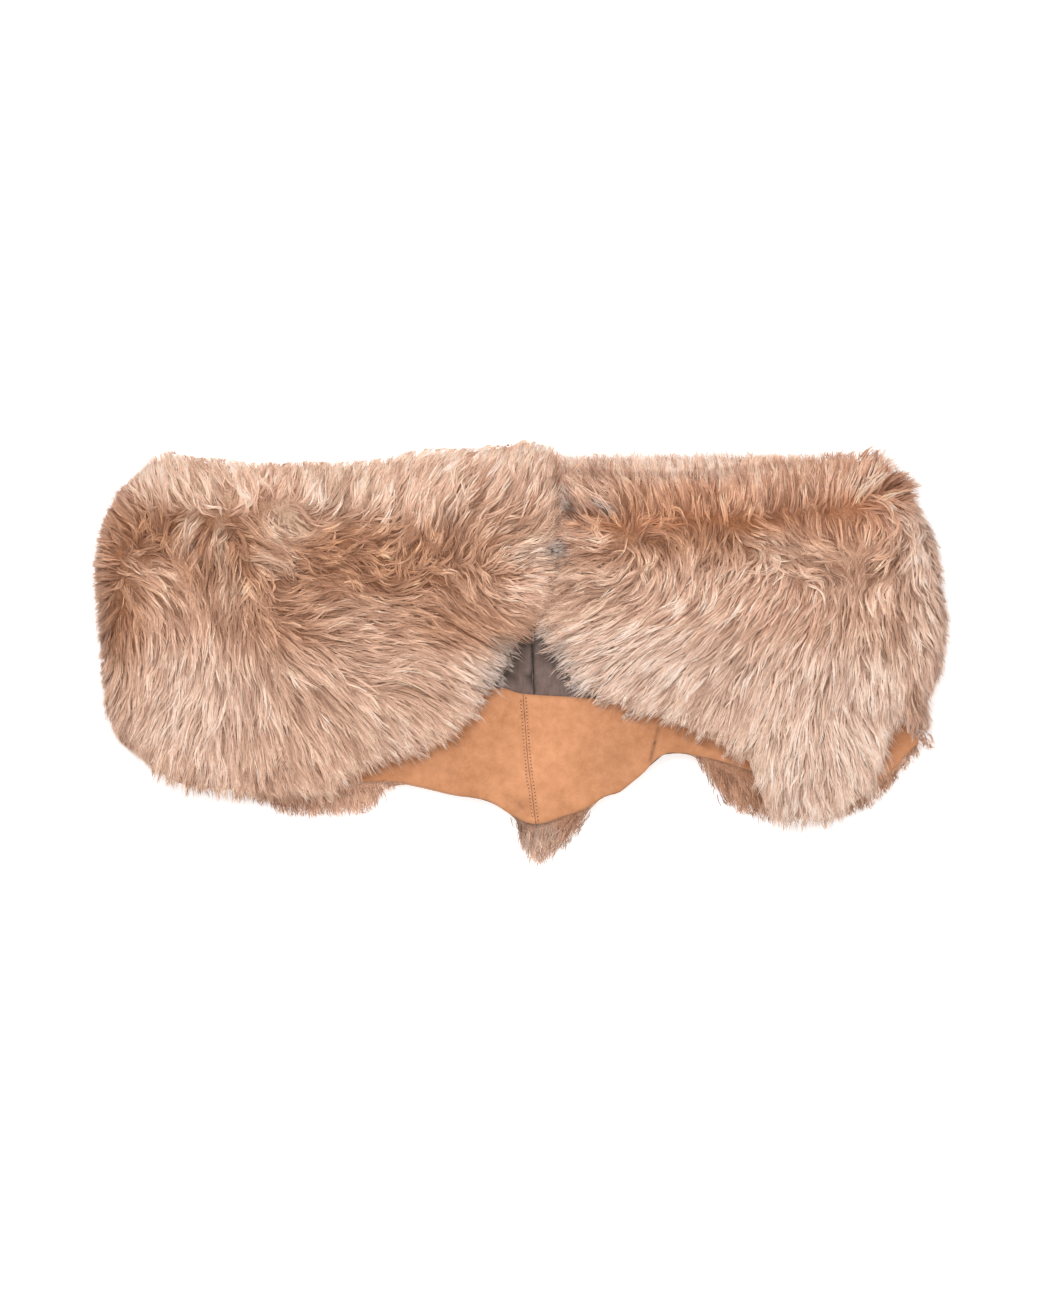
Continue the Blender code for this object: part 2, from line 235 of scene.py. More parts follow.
# A texture whose pattern is n millimetres across has the scale PER_METRE / n.
PER_METRE = 1000


def suede(name, light, dark, patches, nap_bump, nap_y=1.0):
    """Buffed split leather: no gloss, a short nap of about 0.5 mm that scatters the light, drawn at
    1.6 mm so that it shows, and soft mottling of 34 mm and 7 mm where the nap was brushed. patches is
    the share of the coarse mottling. Where nap_y is below 1, the nap is drawn out into streaks in Y."""
    material, tree, shader = new_material(name)
    nap_share, contrast = 0.55, 0.4
    place = add_node(tree, "TexCoord").outputs["Object"]
    cloud = add_node(tree, "TexNoise", Vector=place, Scale=PER_METRE / 34, Detail=3.0)
    brushed = add_node(tree, "TexNoise", Vector=place, Scale=PER_METRE / 7, Detail=4.0)
    drawn = add_node(tree, "VectorMath", {"operation": "MULTIPLY"}, i0=place, i1=(1, nap_y, 1))
    nap = add_node(tree, "TexNoise", Vector=drawn.outputs["Vector"], Scale=PER_METRE / 1.6,
                   Detail=3.0)
    both = add_node(tree, "Math", {"operation": "MULTIPLY_ADD"}, i0=cloud.outputs["Fac"],
                    i1=patches, i2=brushed.outputs["Fac"])
    all_three = add_node(tree, "Math", {"operation": "MULTIPLY_ADD"}, i0=nap.outputs["Fac"],
                         i1=nap_share, i2=both.outputs["Value"])
    middle = (1 + patches + nap_share) / 2
    share = add_node(tree, "MapRange", Value=all_three.outputs["Value"],
                     From_Min=middle - contrast, From_Max=middle + contrast)
    colour = add_node(tree, "Mix", {"data_type": "RGBA"}, i0=share.outputs["Result"],
                      i6=linear(dark), i7=linear(light))
    # The colour is multiplied by an attribute of each piece: darker along its seams and cut edges, lighter
    # or darker in patches, and painted shade in its creases and beside the hair.
    tone = add_node(tree, "Attribute", {"attribute_name": "tone_and_painted_shade"})
    toned_and_shaded = add_node(tree, "Mix", {"data_type": "RGBA", "blend_type": "MULTIPLY"}, i0=1.0,
                    i6=colour.outputs[2], i7=tone.outputs["Color"])
    bump = add_node(tree, "Bump", Strength=nap_bump, Distance=0.6 * MM, Height=nap.outputs["Fac"])
    set_inputs(tree, shader, Base_Color=toned_and_shaded.outputs[2], Normal=bump.outputs["Normal"], Roughness=0.93,
               Specular_IOR_Level=0.2, Sheen_Weight=0.12, Sheen_Roughness=0.6)
    return material


def paint(piece, attribute, colours):
    """Keeps a colour for each point of the mesh."""
    layer = piece.data.color_attributes.new(attribute, "FLOAT_COLOR", "POINT")
    rgba = np.ones((len(piece.data.vertices), 4), np.float32)
    rgba[:, :3] = colours
    layer.data.foreach_set("color", rgba.ravel())


def crease(x, y, from_x, from_y, to_x, to_y, width):
    """1 along a line between two points, falling off as a bell of this width to each side of it."""
    along = np.array([to_x - from_x, to_y - from_y], float)
    t = np.clip(((x - from_x) * along[0] + (y - from_y) * along[1]) / (along @ along), 0, 1)
    away = np.hypot(x - from_x - t * along[0], y - from_y - t * along[1])
    return fall(away, width)


def fine_then_even(fine_step, fine_reach, whole, coarse):
    """Shares from 0 to 1 of a width: fine steps near the start, then even ones."""
    near = np.arange(0, fine_reach, fine_step)
    return np.append(near, np.linspace(fine_reach, whole, coarse)) / whole


GREY_SUEDE = suede("grey_brown_suede", "#86726a", "#5c4b42", 0.5, 0.7, nap_y=0.15)

# The width of a back panel at the middle, over which the steps of its grid are shared out.
PANEL_WIDTH = 330
# How far the skin ends below the neck edge of the wool, which curls over it.
NECK_TURN = 9.0

# Seams that show darker in the grey suede, and in the last two painted shade beside the hair: from x, y
# to x, y, width, depth.
GREY_SEAMS_AND_SHADE = ((9.6, 6, 10, -21, 1.7, 0.95), (9.6, -23, 8.2, -26, 2.8, 0.8),
              (9.8, -28, 11.5, -40, 1.6, 0.9), (-12, -24.5, 6, -23.5, 1.5, 0.45),
              (6, 8, -30, -34, 6.5, 0.3), (24, -6, 42, -18, 5.0, 0.35))
# How far the skin dips at the deepest of them.
SEAM_SINK = 0.3

back_skins = []
for half in (LEFT, RIGHT):
    across = fine_then_even(0.9, 20, PANEL_WIDTH, 24)
    up = np.append(np.linspace(0, 0.26, 6), np.linspace(0.28, 1, 50))
    x, y = back_grid(half, across, up, lambda x: curve(BACK_HEM, x),
                     lambda x: curve(BACK_NECK, x) - NECK_TURN)
    dark = sum(depth * crease(x, y, *line) for *line, depth in GREY_SEAMS_AND_SHADE)
    z = back_top(x, y) + SEAM - SEAM_SINK * dark
    skin = leather(f"{half.name}_back_suede", np.stack([x, y, z], axis=-1), half.side, SKIN, GREY_SUEDE)
    # Darker along the seams, and painted shade beside the hair.
    paint(skin, "tone_and_painted_shade", np.clip(1 - 0.9 * dark, 0.12, 1).reshape(-1, 1))
    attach(skin, "root")
    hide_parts(f"{half.name}_back_skin")
    back_skins.append(skin)

# ---------------------------------------------------------------------------------------------------
# Facing. Two pieces of tan suede, joined down the middle, lie on the lower half of the back. Their
# upper edge is cut clean and left free, and two rows of topstitching hold the middle seam open flat.

FACING = 1.2
FACING_BOTTOM = BACK_FLESH + SEAM
FACING_SEAM = ((-160, 13), (-153, 12), (-128, 9), (-101, 5.5), (-61, 2.5), (-42, 1))
FACING_NECK = ((-342, -28), (-150, -28), (-60, -31), (-18, -34), (-2, -39), (12, -40.5), (28, -41.5),
               (49, -42.5), (150, -42), (350, -38))
STITCH_ROWS = (
    ((-151.2, 9.9), (-138.6, 7.6), (-126, 6.6), (-119.7, 4.8), (-103.5, 3.4), (-42.3, -1.3)),
    ((-154.8, 14.8), (-144.9, 13.2), (-130.5, 11.7), (-115.2, 9.4), (-99, 7.6), (-81, 6.2),
     (-61.2, 4.8), (-42.3, 3.6)),
)

TAN_SUEDE = suede("tan_suede", "#d9996f", "#b97d55", 1.2, 0.6)

# Where the facing is lighter or darker, in patches: x, y, reach in x, reach in y, how much.
TAN_TONES = (
    (30, -95, 40, 50, 0.05), (-60, -95, 40, 30, -0.02), (85, -100, 26, 40, -0.13),
    (-110, -108, 50, 16, -0.09), (165, -80, 60, 20, -0.10), (2, -140, 14, 8, -0.16),
    (330, -92, 30, 22, -0.10),
)
# Its creases, which dip and are painted darker as shade: from x, y to x, y, width, depth.
TAN_CREASES = ((123, -70, 120, -84, 1.5, 0.8), (120, -84, 116, -100, 1.8, 1.1),
               (30, -136, 44, -141, 1.6, 0.25), (36, -142, 50, -146, 1.4, 0.2),
               (96, -60, 124, -74, 2.2, 0.35), (140, -76, 170, -88, 2.4, 0.35),
               (-4, -137, 1, -143, 1.5, 0.4), (-95, -98, -60, -112, 2.6, 0.25))

facings = []
for half in (LEFT, RIGHT):
    across = fine_then_even(0.8, 12, PANEL_WIDTH, 150)
    x, y = back_grid(half, across, np.linspace(0, 1, 44), lambda x: curve(BACK_HEM, x),
                     lambda x: curve(FACING_NECK, x), FACING_SEAM, 0.02)
    # The allowances under the seam lift it to a ridge of 0.45 mm, and the stitches pull a groove beside it.
    from_seam = np.abs(x - curve(FACING_SEAM, y))
    ridge = 0.45 * fall(from_seam, 1.6) - 0.35 * fall(from_seam - 2.4, 0.9)
    folds = sum(depth * crease(x, y, *line) for *line, depth in TAN_CREASES)
    z = back_top(x, y) + FACING_BOTTOM + ridge - 0.5 * folds
    facing = leather(f"{half.name}_tan_facing", np.stack([x, y, z], axis=-1), half.side, FACING, TAN_SUEDE)
    # The seam and the cut edges are darker, and the creases are painted darker as shade.
    seam_line = fall(from_seam, 0.5)
    edge = fall(curve(FACING_NECK, x) - y, 1.5)
    hem_edge = fall(y - curve(BACK_HEM, x), 2.5)
    tone_and_painted_shade = 1 + bells(TAN_TONES, x, y) - 0.4 * folds - 0.12 * seam_line - 0.10 * edge - 0.12 * hem_edge
    paint(facing, "tone_and_painted_shade", np.clip(tone_and_painted_shade, 0.2, 1.3).reshape(-1, 1))
    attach(facing, "root")
    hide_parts(f"{half.name}_facing")
    facings.append(facing)

# The topstitching: polyester thread of about 0.5 mm, in stitches of 3.15 mm that dive into a needle
# hole at each end. A stitch is a tube of rings, and a hole a small dark disc of painted shadow, filled in.
STITCH = 3.15
THREAD = 0.5
STITCH_RINGS = 7
RING_POINTS = 6
HOLE_POINTS = 8


def matt(name, colour, roughness):
    """A plain surface without gloss."""
    material, tree, shader = new_material(name)
    set_inputs(tree, shader, Base_Color=linear(colour), Roughness=roughness)
    return material


def tan_thread():
    """Twisted polyester: a faint sheen and a twist with one turn in 3.9 mm, along Y."""
    material = matt("tan_polyester_thread", "#e6b28e", 0.6)
    tree = material.node_tree
    place = add_node(tree, "TexCoord").outputs["Object"]
    twist = add_node(tree, "TexWave", {"bands_direction": "DIAGONAL"}, Vector=place, Scale=160.0)
    bump = add_node(tree, "Bump", Strength=0.4, Distance=0.2 * MM, Height=twist.outputs["Fac"])
    set_inputs(tree, tree.nodes["Principled BSDF"], Normal=bump.outputs["Normal"])
    return material


THREAD_LOOKS = (tan_thread(), matt("needle_hole_shadow", "#5c3722", 0.95))

for half, row in zip((LEFT, RIGHT), STITCH_ROWS):
    first, last = row[0][0] + 1, row[-1][0] - 1
    count = int((last - first) / STITCH)
    start_y = first + STITCH * np.arange(count)[:, None]
    # Each stitch rises 0.18 mm out of one hole and dips into the next, and lies a little off the row.
    t = np.linspace(0, 1, STITCH_RINGS)
    y = start_y + STITCH * t
    x = curve(row, y)
    x = x + 0.06 * np.sin(5.1 * start_y)
    lift = 0.42 * np.sin(np.pi * t) ** 0.6 - 0.24
    z = back_top(x, y) + FACING_BOTTOM + FACING - 0.05 + lift
    turn = np.linspace(0, 2 * np.pi, RING_POINTS, endpoint=False)
    slim = THREAD / 2 * (0.55 + 0.45 * np.sin(np.pi * t))
    ring = np.stack([np.cos(turn), 0 * turn, np.sin(turn)], axis=-1)
    tube = np.stack([x, y, z], axis=-1)[:, :, None, :] + slim[None, :, None, None] * ring[None, None, :, :]
    index = np.arange(count * STITCH_RINGS * RING_POINTS).reshape(count, STITCH_RINGS, RING_POINTS)
    ahead = np.roll(index, -1, axis=2)
    walls = np.stack([index[:, :-1], ahead[:, :-1], ahead[:, 1:], index[:, 1:]], axis=-1).reshape(-1, 4)
    # A needle hole of 1.2 by 1.4 mm, a dark disc of painted shadow, lies at each joint between stitches.
    hole_y = np.append(start_y[:, 0], start_y[-1, 0] + STITCH)
    hole_x = curve(row, hole_y)
    hole_z = back_top(hole_x, hole_y) + FACING_BOTTOM + FACING + 0.02
    turn = np.linspace(0, 2 * np.pi, HOLE_POINTS, endpoint=False)
    hole = np.stack([hole_x[:, None] + 0.6 * np.cos(turn), hole_y[:, None] + 0.7 * np.sin(turn),
                     hole_z[:, None] + 0 * turn], axis=-1)
    holes = np.arange(len(hole_y) * HOLE_POINTS).reshape(-1, HOLE_POINTS) + index.size
    points = np.concatenate([tube.reshape(-1, 3), hole.reshape(-1, 3)])
    ends = np.concatenate([index[:, 0], index[:, -1, ::-1]])
    sizes = np.concatenate([np.full(len(faces), faces.shape[1]) for faces in (walls, ends, holes)])
    loops = np.concatenate([walls.ravel(), ends.ravel(), holes.ravel()])
    thread = add_mesh(f"{half.name}_topstitch", points, loops, sizes, THREAD_LOOKS)
    dark = np.concatenate([np.zeros(len(walls) + len(ends), np.int32), np.ones(len(holes), np.int32)])
    thread.data.polygons.foreach_set("material_index", dark)
    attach(thread, "root")

# ---------------------------------------------------------------------------------------------------
# Front skins. Each front panel of lambskin runs from the centre front out to the side, turns back round
# a tight fold and is sewn under it to the back panel. Its flesh side is inside and stays hidden.

# The room inside the loop, and the flesh side of the front over the back's.
HOLLOW = 2.3
FRONT_FLESH = FACING_BOTTOM + FACING + HOLLOW
FOLD_RADIUS = (FRONT_FLESH - BACK_FLESH) / 2
# Where the pile starts over the flesh side, and how far the fold lies in from the outline of the side.
PILE_ROOT = SKIN + 0.45
SIDE_PILE = 20.0
FOLD_INSET = SIDE_PILE + PILE_ROOT + FOLD_RADIUS
# How far the hair reaches past the skin at the hem, the neck edge and the centre front.
FRONT_OVERHANG = 14.0
NECK_OVERHANG = 12.0
FRONT_EDGE = 2.0
# Nothing goes lower than this.
FLOOR_GAP = 0.2
# The columns of a front's grids that go round the side fold.
TURN_COLUMNS = 14
CENTRE_FRONT = ((18, 13), (45, 25), (81, 32), (135, 32), (183, 29))


def fold_line(half, y):
    """The x about which a front panel turns back."""
    return curve(half.side_line, y) - half.side * FOLD_INSET


def turned(half, u, y):
    """How a point of a front panel lies. u is the x that it would have if the panel didn't turn back.
    Gives the x about which it turns, and its angle, from 90 on top of the wrap to -90 below it."""
    fold = fold_line(half, y)
    past = half.side * (u - fold)
    angle = np.clip(np.pi / 2 - past / FOLD_INSET, -np.pi / 2, np.pi / 2)
    return np.where(past > 0, fold, u), angle


def front_edges(half, u, y):
    """The y of the hem and of the neck edge of the hair, where the panel lies at u and y."""
    x, angle = turned(half, u, y)
    degrees = np.degrees(angle)
    on_top = degrees > 89.9
    hem = np.where(on_top, curve(half.hem, x), curve(half.turn_hem, degrees))
    neck = np.where(on_top, curve(half.neck, x), curve(half.turn_neck, degrees))
    return hem, neck


def lie(half, u, y, height):
    """The point at this height off the flesh side of a front panel, which is round at the side fold.
    Below the fold the pile is pressed, to its share of the height that reaches the floor."""
    x, angle = turned(half, u, y)
    axis = back_top(x, y) + BACK_FLESH + FOLD_RADIUS
    radius = FOLD_RADIUS + height
    pressed = np.where(angle > 0, 1, (axis - FLOOR_GAP) / FOLD_INSET)
    upright = np.where(angle > 0, radius, FOLD_RADIUS + (radius - FOLD_RADIUS) * pressed)
    z = axis + upright * np.sin(angle)
    return np.stack([x + half.side * radius * np.cos(angle), y, np.maximum(z, FLOOR_GAP)], axis=-1)


def front_grid(half, edge, hem_reach, neck_reach, columns, rows):
    """u and y of a grid over a front panel: from the centre front to the side fold, and on round it."""
    up = np.linspace(0, 1, rows)[:, None]
    x, y = between(
        lambda x: curve(half.hem, x) + hem_reach,
        lambda x: curve(half.neck, x) - neck_reach,
        lambda y: curve(CENTRE_FRONT, y) + half.side * edge,
        lambda y: fold_line(half, y),
        np.linspace(0, 1, columns)[None, :],
        up,
    )
    degrees = np.linspace(90, -90, TURN_COLUMNS + 1)[1:]
    hem = curve(half.turn_hem, degrees) + hem_reach
    neck = curve(half.turn_neck, degrees) - neck_reach
    turn_y = hem * (1 - up) + neck * up
    turn_u = fold_line(half, turn_y) + half.side * FOLD_INSET * np.radians(90 - degrees)
    return np.concatenate([x, turn_u], axis=1), np.concatenate([y, turn_y], axis=1)


FLESH_SUEDE = suede("front_flesh_suede", "#d0a07a", "#b3835f", 0.8, 0.5)

front_skins = []
for half in (LEFT, RIGHT):
    u, y = front_grid(half, FRONT_EDGE, FRONT_OVERHANG, NECK_OVERHANG, 48, 36)
    skin = leather(f"{half.name}_front_leather", lie(half, u, y, 0), half.side, SKIN, FLESH_SUEDE)
    paint(skin, "tone_and_painted_shade", 1.0)
    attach(skin, "root")
    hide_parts(f"{half.name}_front_skin")
    front_skins.append(skin)

# ---------------------------------------------------------------------------------------------------
# Under-wool. Long-haired lambskin has a dense short wool at the skin, out of which the long hair grows.
# It is darker than the tips, because the light hardly reaches it, and shows in the partings.

# How far the back's hair reaches past its hem: x, millimetres.
FRINGE = ((-342, 3), (-310, 8), (-245, 16), (-231, 25), (-217, 29), (-206, 30), (-164, 28.5),
          (-142, 27), (-133, 20), (-123, 8), (-105, 2), (-10, 1.5), (-3, 6), (5, 26), (9, 33), (14, 35.8),
          (21, 33.6), (34, 26), (48, 18), (58, 7), (70, 1.5), (152, 1.5), (160, 4), (168, 14),
          (176, 25), (186, 34), (201, 40), (222, 33), (250, 20), (278, 16), (300, 14), (330, 13),
          (350, 11), (364, 9))
# The front pile's thickness, in the middle and at an edge, and how far in it is rounded down to that: at
# the hem and the neck edge, by the angle round the side fold, and, to a share, at the centre front.
FRONT_PILE = 20.0
EDGE_PILE = 1.4
HEM_ROUND = ((-90, 12), (0, 24), (90, 40))
NECK_ROUND = ((-90, 12), (0, 22), (90, 26))
FRONT_EDGE_ROUND = 20.0
FRONT_EDGE_SINK = 0.6
# The wool's share of the height of the pile.
UNDER_WOOL = 0.8

# Crests, partings and whorls of the front pile, over its mean thickness: x, y, reaches, height.
TUFTS = {
    "left": (
        (-300, 145, 60, 24, 3.0), (-150, 148, 110, 24, 3.4), (-20, 150, 60, 32, 4.2),
        (-190, 104, 95, 16, -4.6), (-60, 94, 60, 20, -3.0), (-334, 74, 28, 28, 4.4),
        (-282, 92, 24, 24, 4.2), (-228, 72, 30, 24, 5.2), (-250, 40, 90, 16, -2.8),
        (-120, 58, 60, 22, 2.8), (-10, 62, 36, 28, 3.0), (-250, -40, 100, 46, 2.4),
        (-110, -30, 70, 40, 1.8),
    ),
    "right": (
        (70, 140, 26, 20, 2.8), (190, 142, 100, 18, 4.4), (305, 158, 46, 20, 4.6),
        (110, 114, 60, 13, -5.0), (200, 118, 60, 13, -5.0), (290, 136, 50, 13, -4.4),
        (120, 86, 60, 17, 3.2), (250, 92, 70, 22, 3.6), (330, 90, 32, 34, 3.4), (90, 30, 50, 40, 2.2),
        (210, -10, 80, 50, 2.6), (270, -100, 50, 36, 2.4), (334, -52, 9, 26, -5.0),
    ),
}

TONES = {
    tone: np.array(linear(colour)[:3])
    for tone, colour in (
        ("shell", "#fbdcc8"), ("cream", "#f4d2b8"), ("peach", "#f2c4a9"), ("sand", "#e5bfa8"),
        ("fawn", "#d4a98f"), ("honey", "#d19674"), ("amber", "#bf7d56"), ("camel", "#bd8b6d"),
        ("russet", "#a9724f"), ("umber", "#7a503b"), ("ash", "#a3968d"), ("slate", "#55504c"),
        ("soot", "#4a3a31"), ("white", "#f3e6de"),
    )
}

# What colour the hair has, where: tone, x, y, reach in x, reach in y, strength.
PILE_TONES = {
    "left": (
        # The band along the neck edge.
        ("peach", -300, 158, 44, 18, 2.2), ("cream", -296, 154, 34, 14, 3.4),
        ("peach", -235, 150, 34, 20, 1.1), ("honey", -235, 144, 34, 18, 0.15),
        ("peach", -160, 148, 44, 20, 1.0), ("cream", -160, 150, 34, 16, 1.6),
        ("peach", -85, 150, 36, 20, 1.0), ("sand", -20, 158, 34, 24, 0.8),
        ("honey", -24, 152, 34, 22, 0.4), ("peach", 0, 188, 30, 10, 1.0),
        ("cream", -213, 110, 11, 13, 4.5), ("cream", -70, 166, 26, 8, 0.8),
        ("cream", -180, 140, 8, 14, 0.7), ("ash", -66, 122, 10, 6, 0.25),
        ("camel", -12, 122, 24, 10, 0.8), ("camel", -325, 132, 30, 7, 0.6),
        ("camel", -55, 138, 18, 8, 0.5),
        # The dark, tousled stretch under it, with its whorls.
        ("russet", -330, 107, 24, 16, 5.0), ("umber", -330, 106, 20, 14, 4.0),
        ("camel", -366, 84, 16, 34, 1.6), ("russet", -364, 84, 10, 34, 1.0),
        ("fawn", -325, 75, 18, 12, 1.0), ("camel", -330, 55, 26, 12, 1.0),
        ("camel", -258, 84, 46, 28, 2.2), ("russet", -258, 86, 44, 24, 3.6),
        ("cream", -298, 106, 4, 13, 8.0), ("cream", -270, 94, 4, 13, 8.0),
        ("cream", -284, 86, 5, 7, 3.0), ("cream", -222, 80, 13, 8, 4.5),
        ("cream", -262, 54, 8, 8, 2.5), ("umber", -276, 72, 16, 6, 4.0),
        ("umber", -248, 104, 18, 7, 4.0), ("umber", -205, 72, 7, 12, 4.0),
        ("camel", -168, 84, 40, 26, 1.0), ("russet", -168, 84, 40, 26, 1.9),
        ("umber", -112, 96, 14, 8, 1.8), ("umber", -134, 82, 9, 8, 1.2),
        ("russet", -100, 84, 40, 26, 1.9), ("camel", -95, 84, 40, 26, 0.7),
        ("camel", -30, 84, 30, 26, 1.8), ("umber", -60, 82, 14, 9, 0.9),
        ("cream", -22, 113, 12, 4, 0.9), ("cream", 4, 86, 14, 8, 1.2), ("peach", 8, 58, 14, 14, 1.0),
        ("slate", 0, 108, 5, 4, 0.7), ("slate", 24, 82, 4, 12, 0.4),
        # The long straight hair below.
        ("umber", -364, 26, 14, 26, 1.0), ("russet", -356, 20, 14, 22, 3.4),
        ("fawn", -300, 20, 44, 20, 0.8), ("camel", -300, 22, 44, 18, 1.0),
        ("camel", -220, 20, 40, 18, 1.8), ("russet", -215, 22, 40, 14, 0.5),
        ("fawn", -140, 20, 40, 18, 1.0), ("camel", -140, 20, 40, 18, 0.3),
        ("camel", -60, 24, 40, 16, 2.0), ("russet", -60, 24, 36, 14, 0.9),
        ("fawn", -350, -36, 20, 26, 1.0), ("sand", -296, -60, 36, 40, 2.6),
        ("fawn", -224, -70, 36, 46, 1.0), ("sand", -230, -60, 14, 20, 0.7),
        ("fawn", -155, -60, 36, 40, 1.0), ("sand", -120, -80, 30, 14, 0.7),
        ("fawn", -80, -40, 30, 24, 1.8), ("sand", -45, -34, 16, 16, 1.0),
        ("camel", -320, -112, 30, 10, 0.6), ("slate", -8, 0, 8, 8, 0.8), ("ash", -24, -24, 8, 8, 0.7),
    ),
    "right": (
        # The band that is combed up to the neck edge, and its parting.
        ("camel", 84, 138, 30, 16, 2.6), ("honey", 150, 140, 44, 18, 2.0),
        ("honey", 230, 148, 36, 18, 2.4), ("peach", 232, 148, 36, 18, 2.4),
        ("fawn", 290, 160, 36, 16, 0.4), ("honey", 290, 164, 36, 14, 1.4),
        ("peach", 290, 160, 36, 16, 1.3), ("cream", 255, 150, 5, 14, 0.6),
        ("cream", 312, 152, 8, 4, 0.9), ("amber", 110, 115, 50, 9, 1.8),
        ("amber", 200, 118, 50, 9, 1.8), ("russet", 185, 115, 44, 6, 2.0),
        ("amber", 276, 129, 44, 9, 2.0), ("honey", 290, 130, 40, 8, 1.0),
        ("honey", 335, 144, 26, 10, 2.0), ("peach", 72, 160, 44, 6, 3.0),
        ("shell", 150, 168, 50, 5, 1.4), ("peach", 62, 150, 20, 8, 1.0),
        ("umber", 55, 112, 8, 6, 0.5), ("slate", 68, 128, 5, 4, 0.5), ("slate", 42, 128, 4, 6, 0.5),
        ("slate", 32, 92, 4, 14, 0.5),
        # The curls under the parting.
        ("peach", 62, 97, 16, 7, 1.0), ("camel", 80, 88, 30, 14, 1.8),
        ("camel", 155, 90, 44, 16, 2.0), ("russet", 155, 92, 40, 12, 2.8),
        ("slate", 132, 80, 3, 5, 0.5), ("peach", 140, 70, 14, 7, 0.8), ("umber", 190, 97, 14, 4, 0.6),
        ("fawn", 235, 86, 26, 12, 1.2), ("camel", 235, 84, 30, 16, 0.2),
        ("cream", 235, 90, 20, 5, 0.7), ("fawn", 292, 80, 30, 14, 1.0),
        ("camel", 292, 84, 34, 16, 3.6), ("russet", 300, 78, 30, 12, 0.8),
        ("cream", 288, 80, 16, 6, 0.7), ("umber", 276, 64, 14, 4, 0.7),
        ("honey", 285, 106, 40, 8, 1.2), ("sand", 350, 92, 18, 30, 1.0),
        ("sand", 366, 80, 8, 36, 1.0),
        # The long hair below.
        ("fawn", 70, 48, 36, 22, 1.2), ("peach", 150, 44, 40, 22, 1.0),
        ("fawn", 150, 50, 40, 26, 1.0), ("honey", 236, 36, 36, 26, 0.8),
        ("sand", 236, 36, 36, 26, 0.8), ("fawn", 305, 34, 36, 28, 1.2),
        ("camel", 315, 34, 26, 28, 0.5), ("sand", 364, 14, 14, 44, 1.4),
        ("sand", 95, -14, 40, 26, 1.2), ("shell", 95, -14, 40, 26, 0.5),
        ("sand", 165, -34, 40, 34, 1.4), ("ash", 34, -16, 8, 8, 0.7), ("slate", 26, -4, 4, 7, 0.7),
        ("sand", 236, -52, 36, 40, 1.4), ("sand", 305, -50, 30, 36, 1.4),
        ("shell", 300, -56, 30, 30, 0.8), ("cream", 330, -22, 8, 12, 0.8),
        ("cream", 212, -95, 8, 24, 1.0), ("cream", 228, -122, 8, 16, 1.0),
        ("sand", 260, -124, 40, 26, 1.0), ("shell", 260, -124, 40, 26, 0.7),
        ("umber", 335, -52, 3, 16, 0.8), ("camel", 352, -48, 8, 16, 0.8),
        ("ash", 240, -140, 7, 8, 0.7), ("cream", 298, -128, 8, 10, 0.8),
    ),
}
BACK_TONES = (
    ("fawn", -170, -130, 60, 18, 2.0), ("sand", -175, -134, 40, 12, 0.2),
    ("honey", -175, -132, 40, 14, 1.8), ("fawn", 18, -178, 14, 10, 2.0),
    ("umber", 4, -160, 8, 10, 2.0), ("camel", 34, -156, 14, 16, 2.0), ("fawn", 14, -166, 16, 12, 1.5),
    ("ash", 14, -168, 16, 12, 1.0), ("umber", 8, -164, 14, 10, 0.4),
    # The darker camel, russet and ash on the right lobe are painted shadow, which the edge of the right
    # front casts on it.
    ("camel", 190, -120, 30, 24, 1.0), ("camel", 200, -130, 30, 24, 2.0),
    ("russet", 196, -122, 26, 16, 1.0), ("ash", 196, -122, 26, 16, 0.3),
    ("camel", 320, -125, 20, 14, 1.0), ("shell", 140, 172, 120, 12, 4.0),
    ("honey", 230, 164, 60, 12, 1.5), ("peach", 140, 168, 120, 14, 2.0),
    ("honey", 90, 158, 24, 6, 2.0), ("peach", 290, 168, 50, 14, 2.0),
    ("peach", -200, 168, 120, 14, 2.0),
)


# All that is left to chance is drawn from here, in the order of the script.
chance = np.random.default_rng(20)


def hair_colour(tones, x, y):
    """The linear colour at x and y: the mean of the tones, each weighed by its bell and by chance, which
    is the same along the last axis, with a little fawn everywhere."""
    weight = np.full(x.shape, 0.15)
    total = weight[..., None] * TONES["fawn"]
    for tone, *place, strength in tones:
        share = bell(x, y, *place) * strength * chance.lognormal(0, 0.8, (*x.shape[:-1], 1))
        total = total + share[..., None] * TONES[tone]
        weight = weight + share
    return total / weight[..., None]


def rounded(distance, reach):
    """A quarter ellipse: 0 at an edge, 1 from the reach inwards."""
    return np.sqrt(1 - (1 - np.clip(distance / reach, 0, 1)) ** 2)


def front_height(half, u, y):
    """The height of the tips of the front pile off the flesh side, rounded towards every edge."""
    x, angle = turned(half, u, y)
    hem, neck = front_edges(half, u, y)
    degrees = np.degrees(angle)
    full = rounded(y - hem, curve(HEM_ROUND, degrees)) * rounded(neck - y, curve(NECK_ROUND, degrees))
    from_centre = np.abs(x - curve(CENTRE_FRONT, y))
    full = full * (1 - FRONT_EDGE_SINK * (1 - rounded(from_centre, FRONT_EDGE_ROUND)))
    return PILE_ROOT + EDGE_PILE + (FRONT_PILE + bells(TUFTS[half.name], x, y) - EDGE_PILE) * full


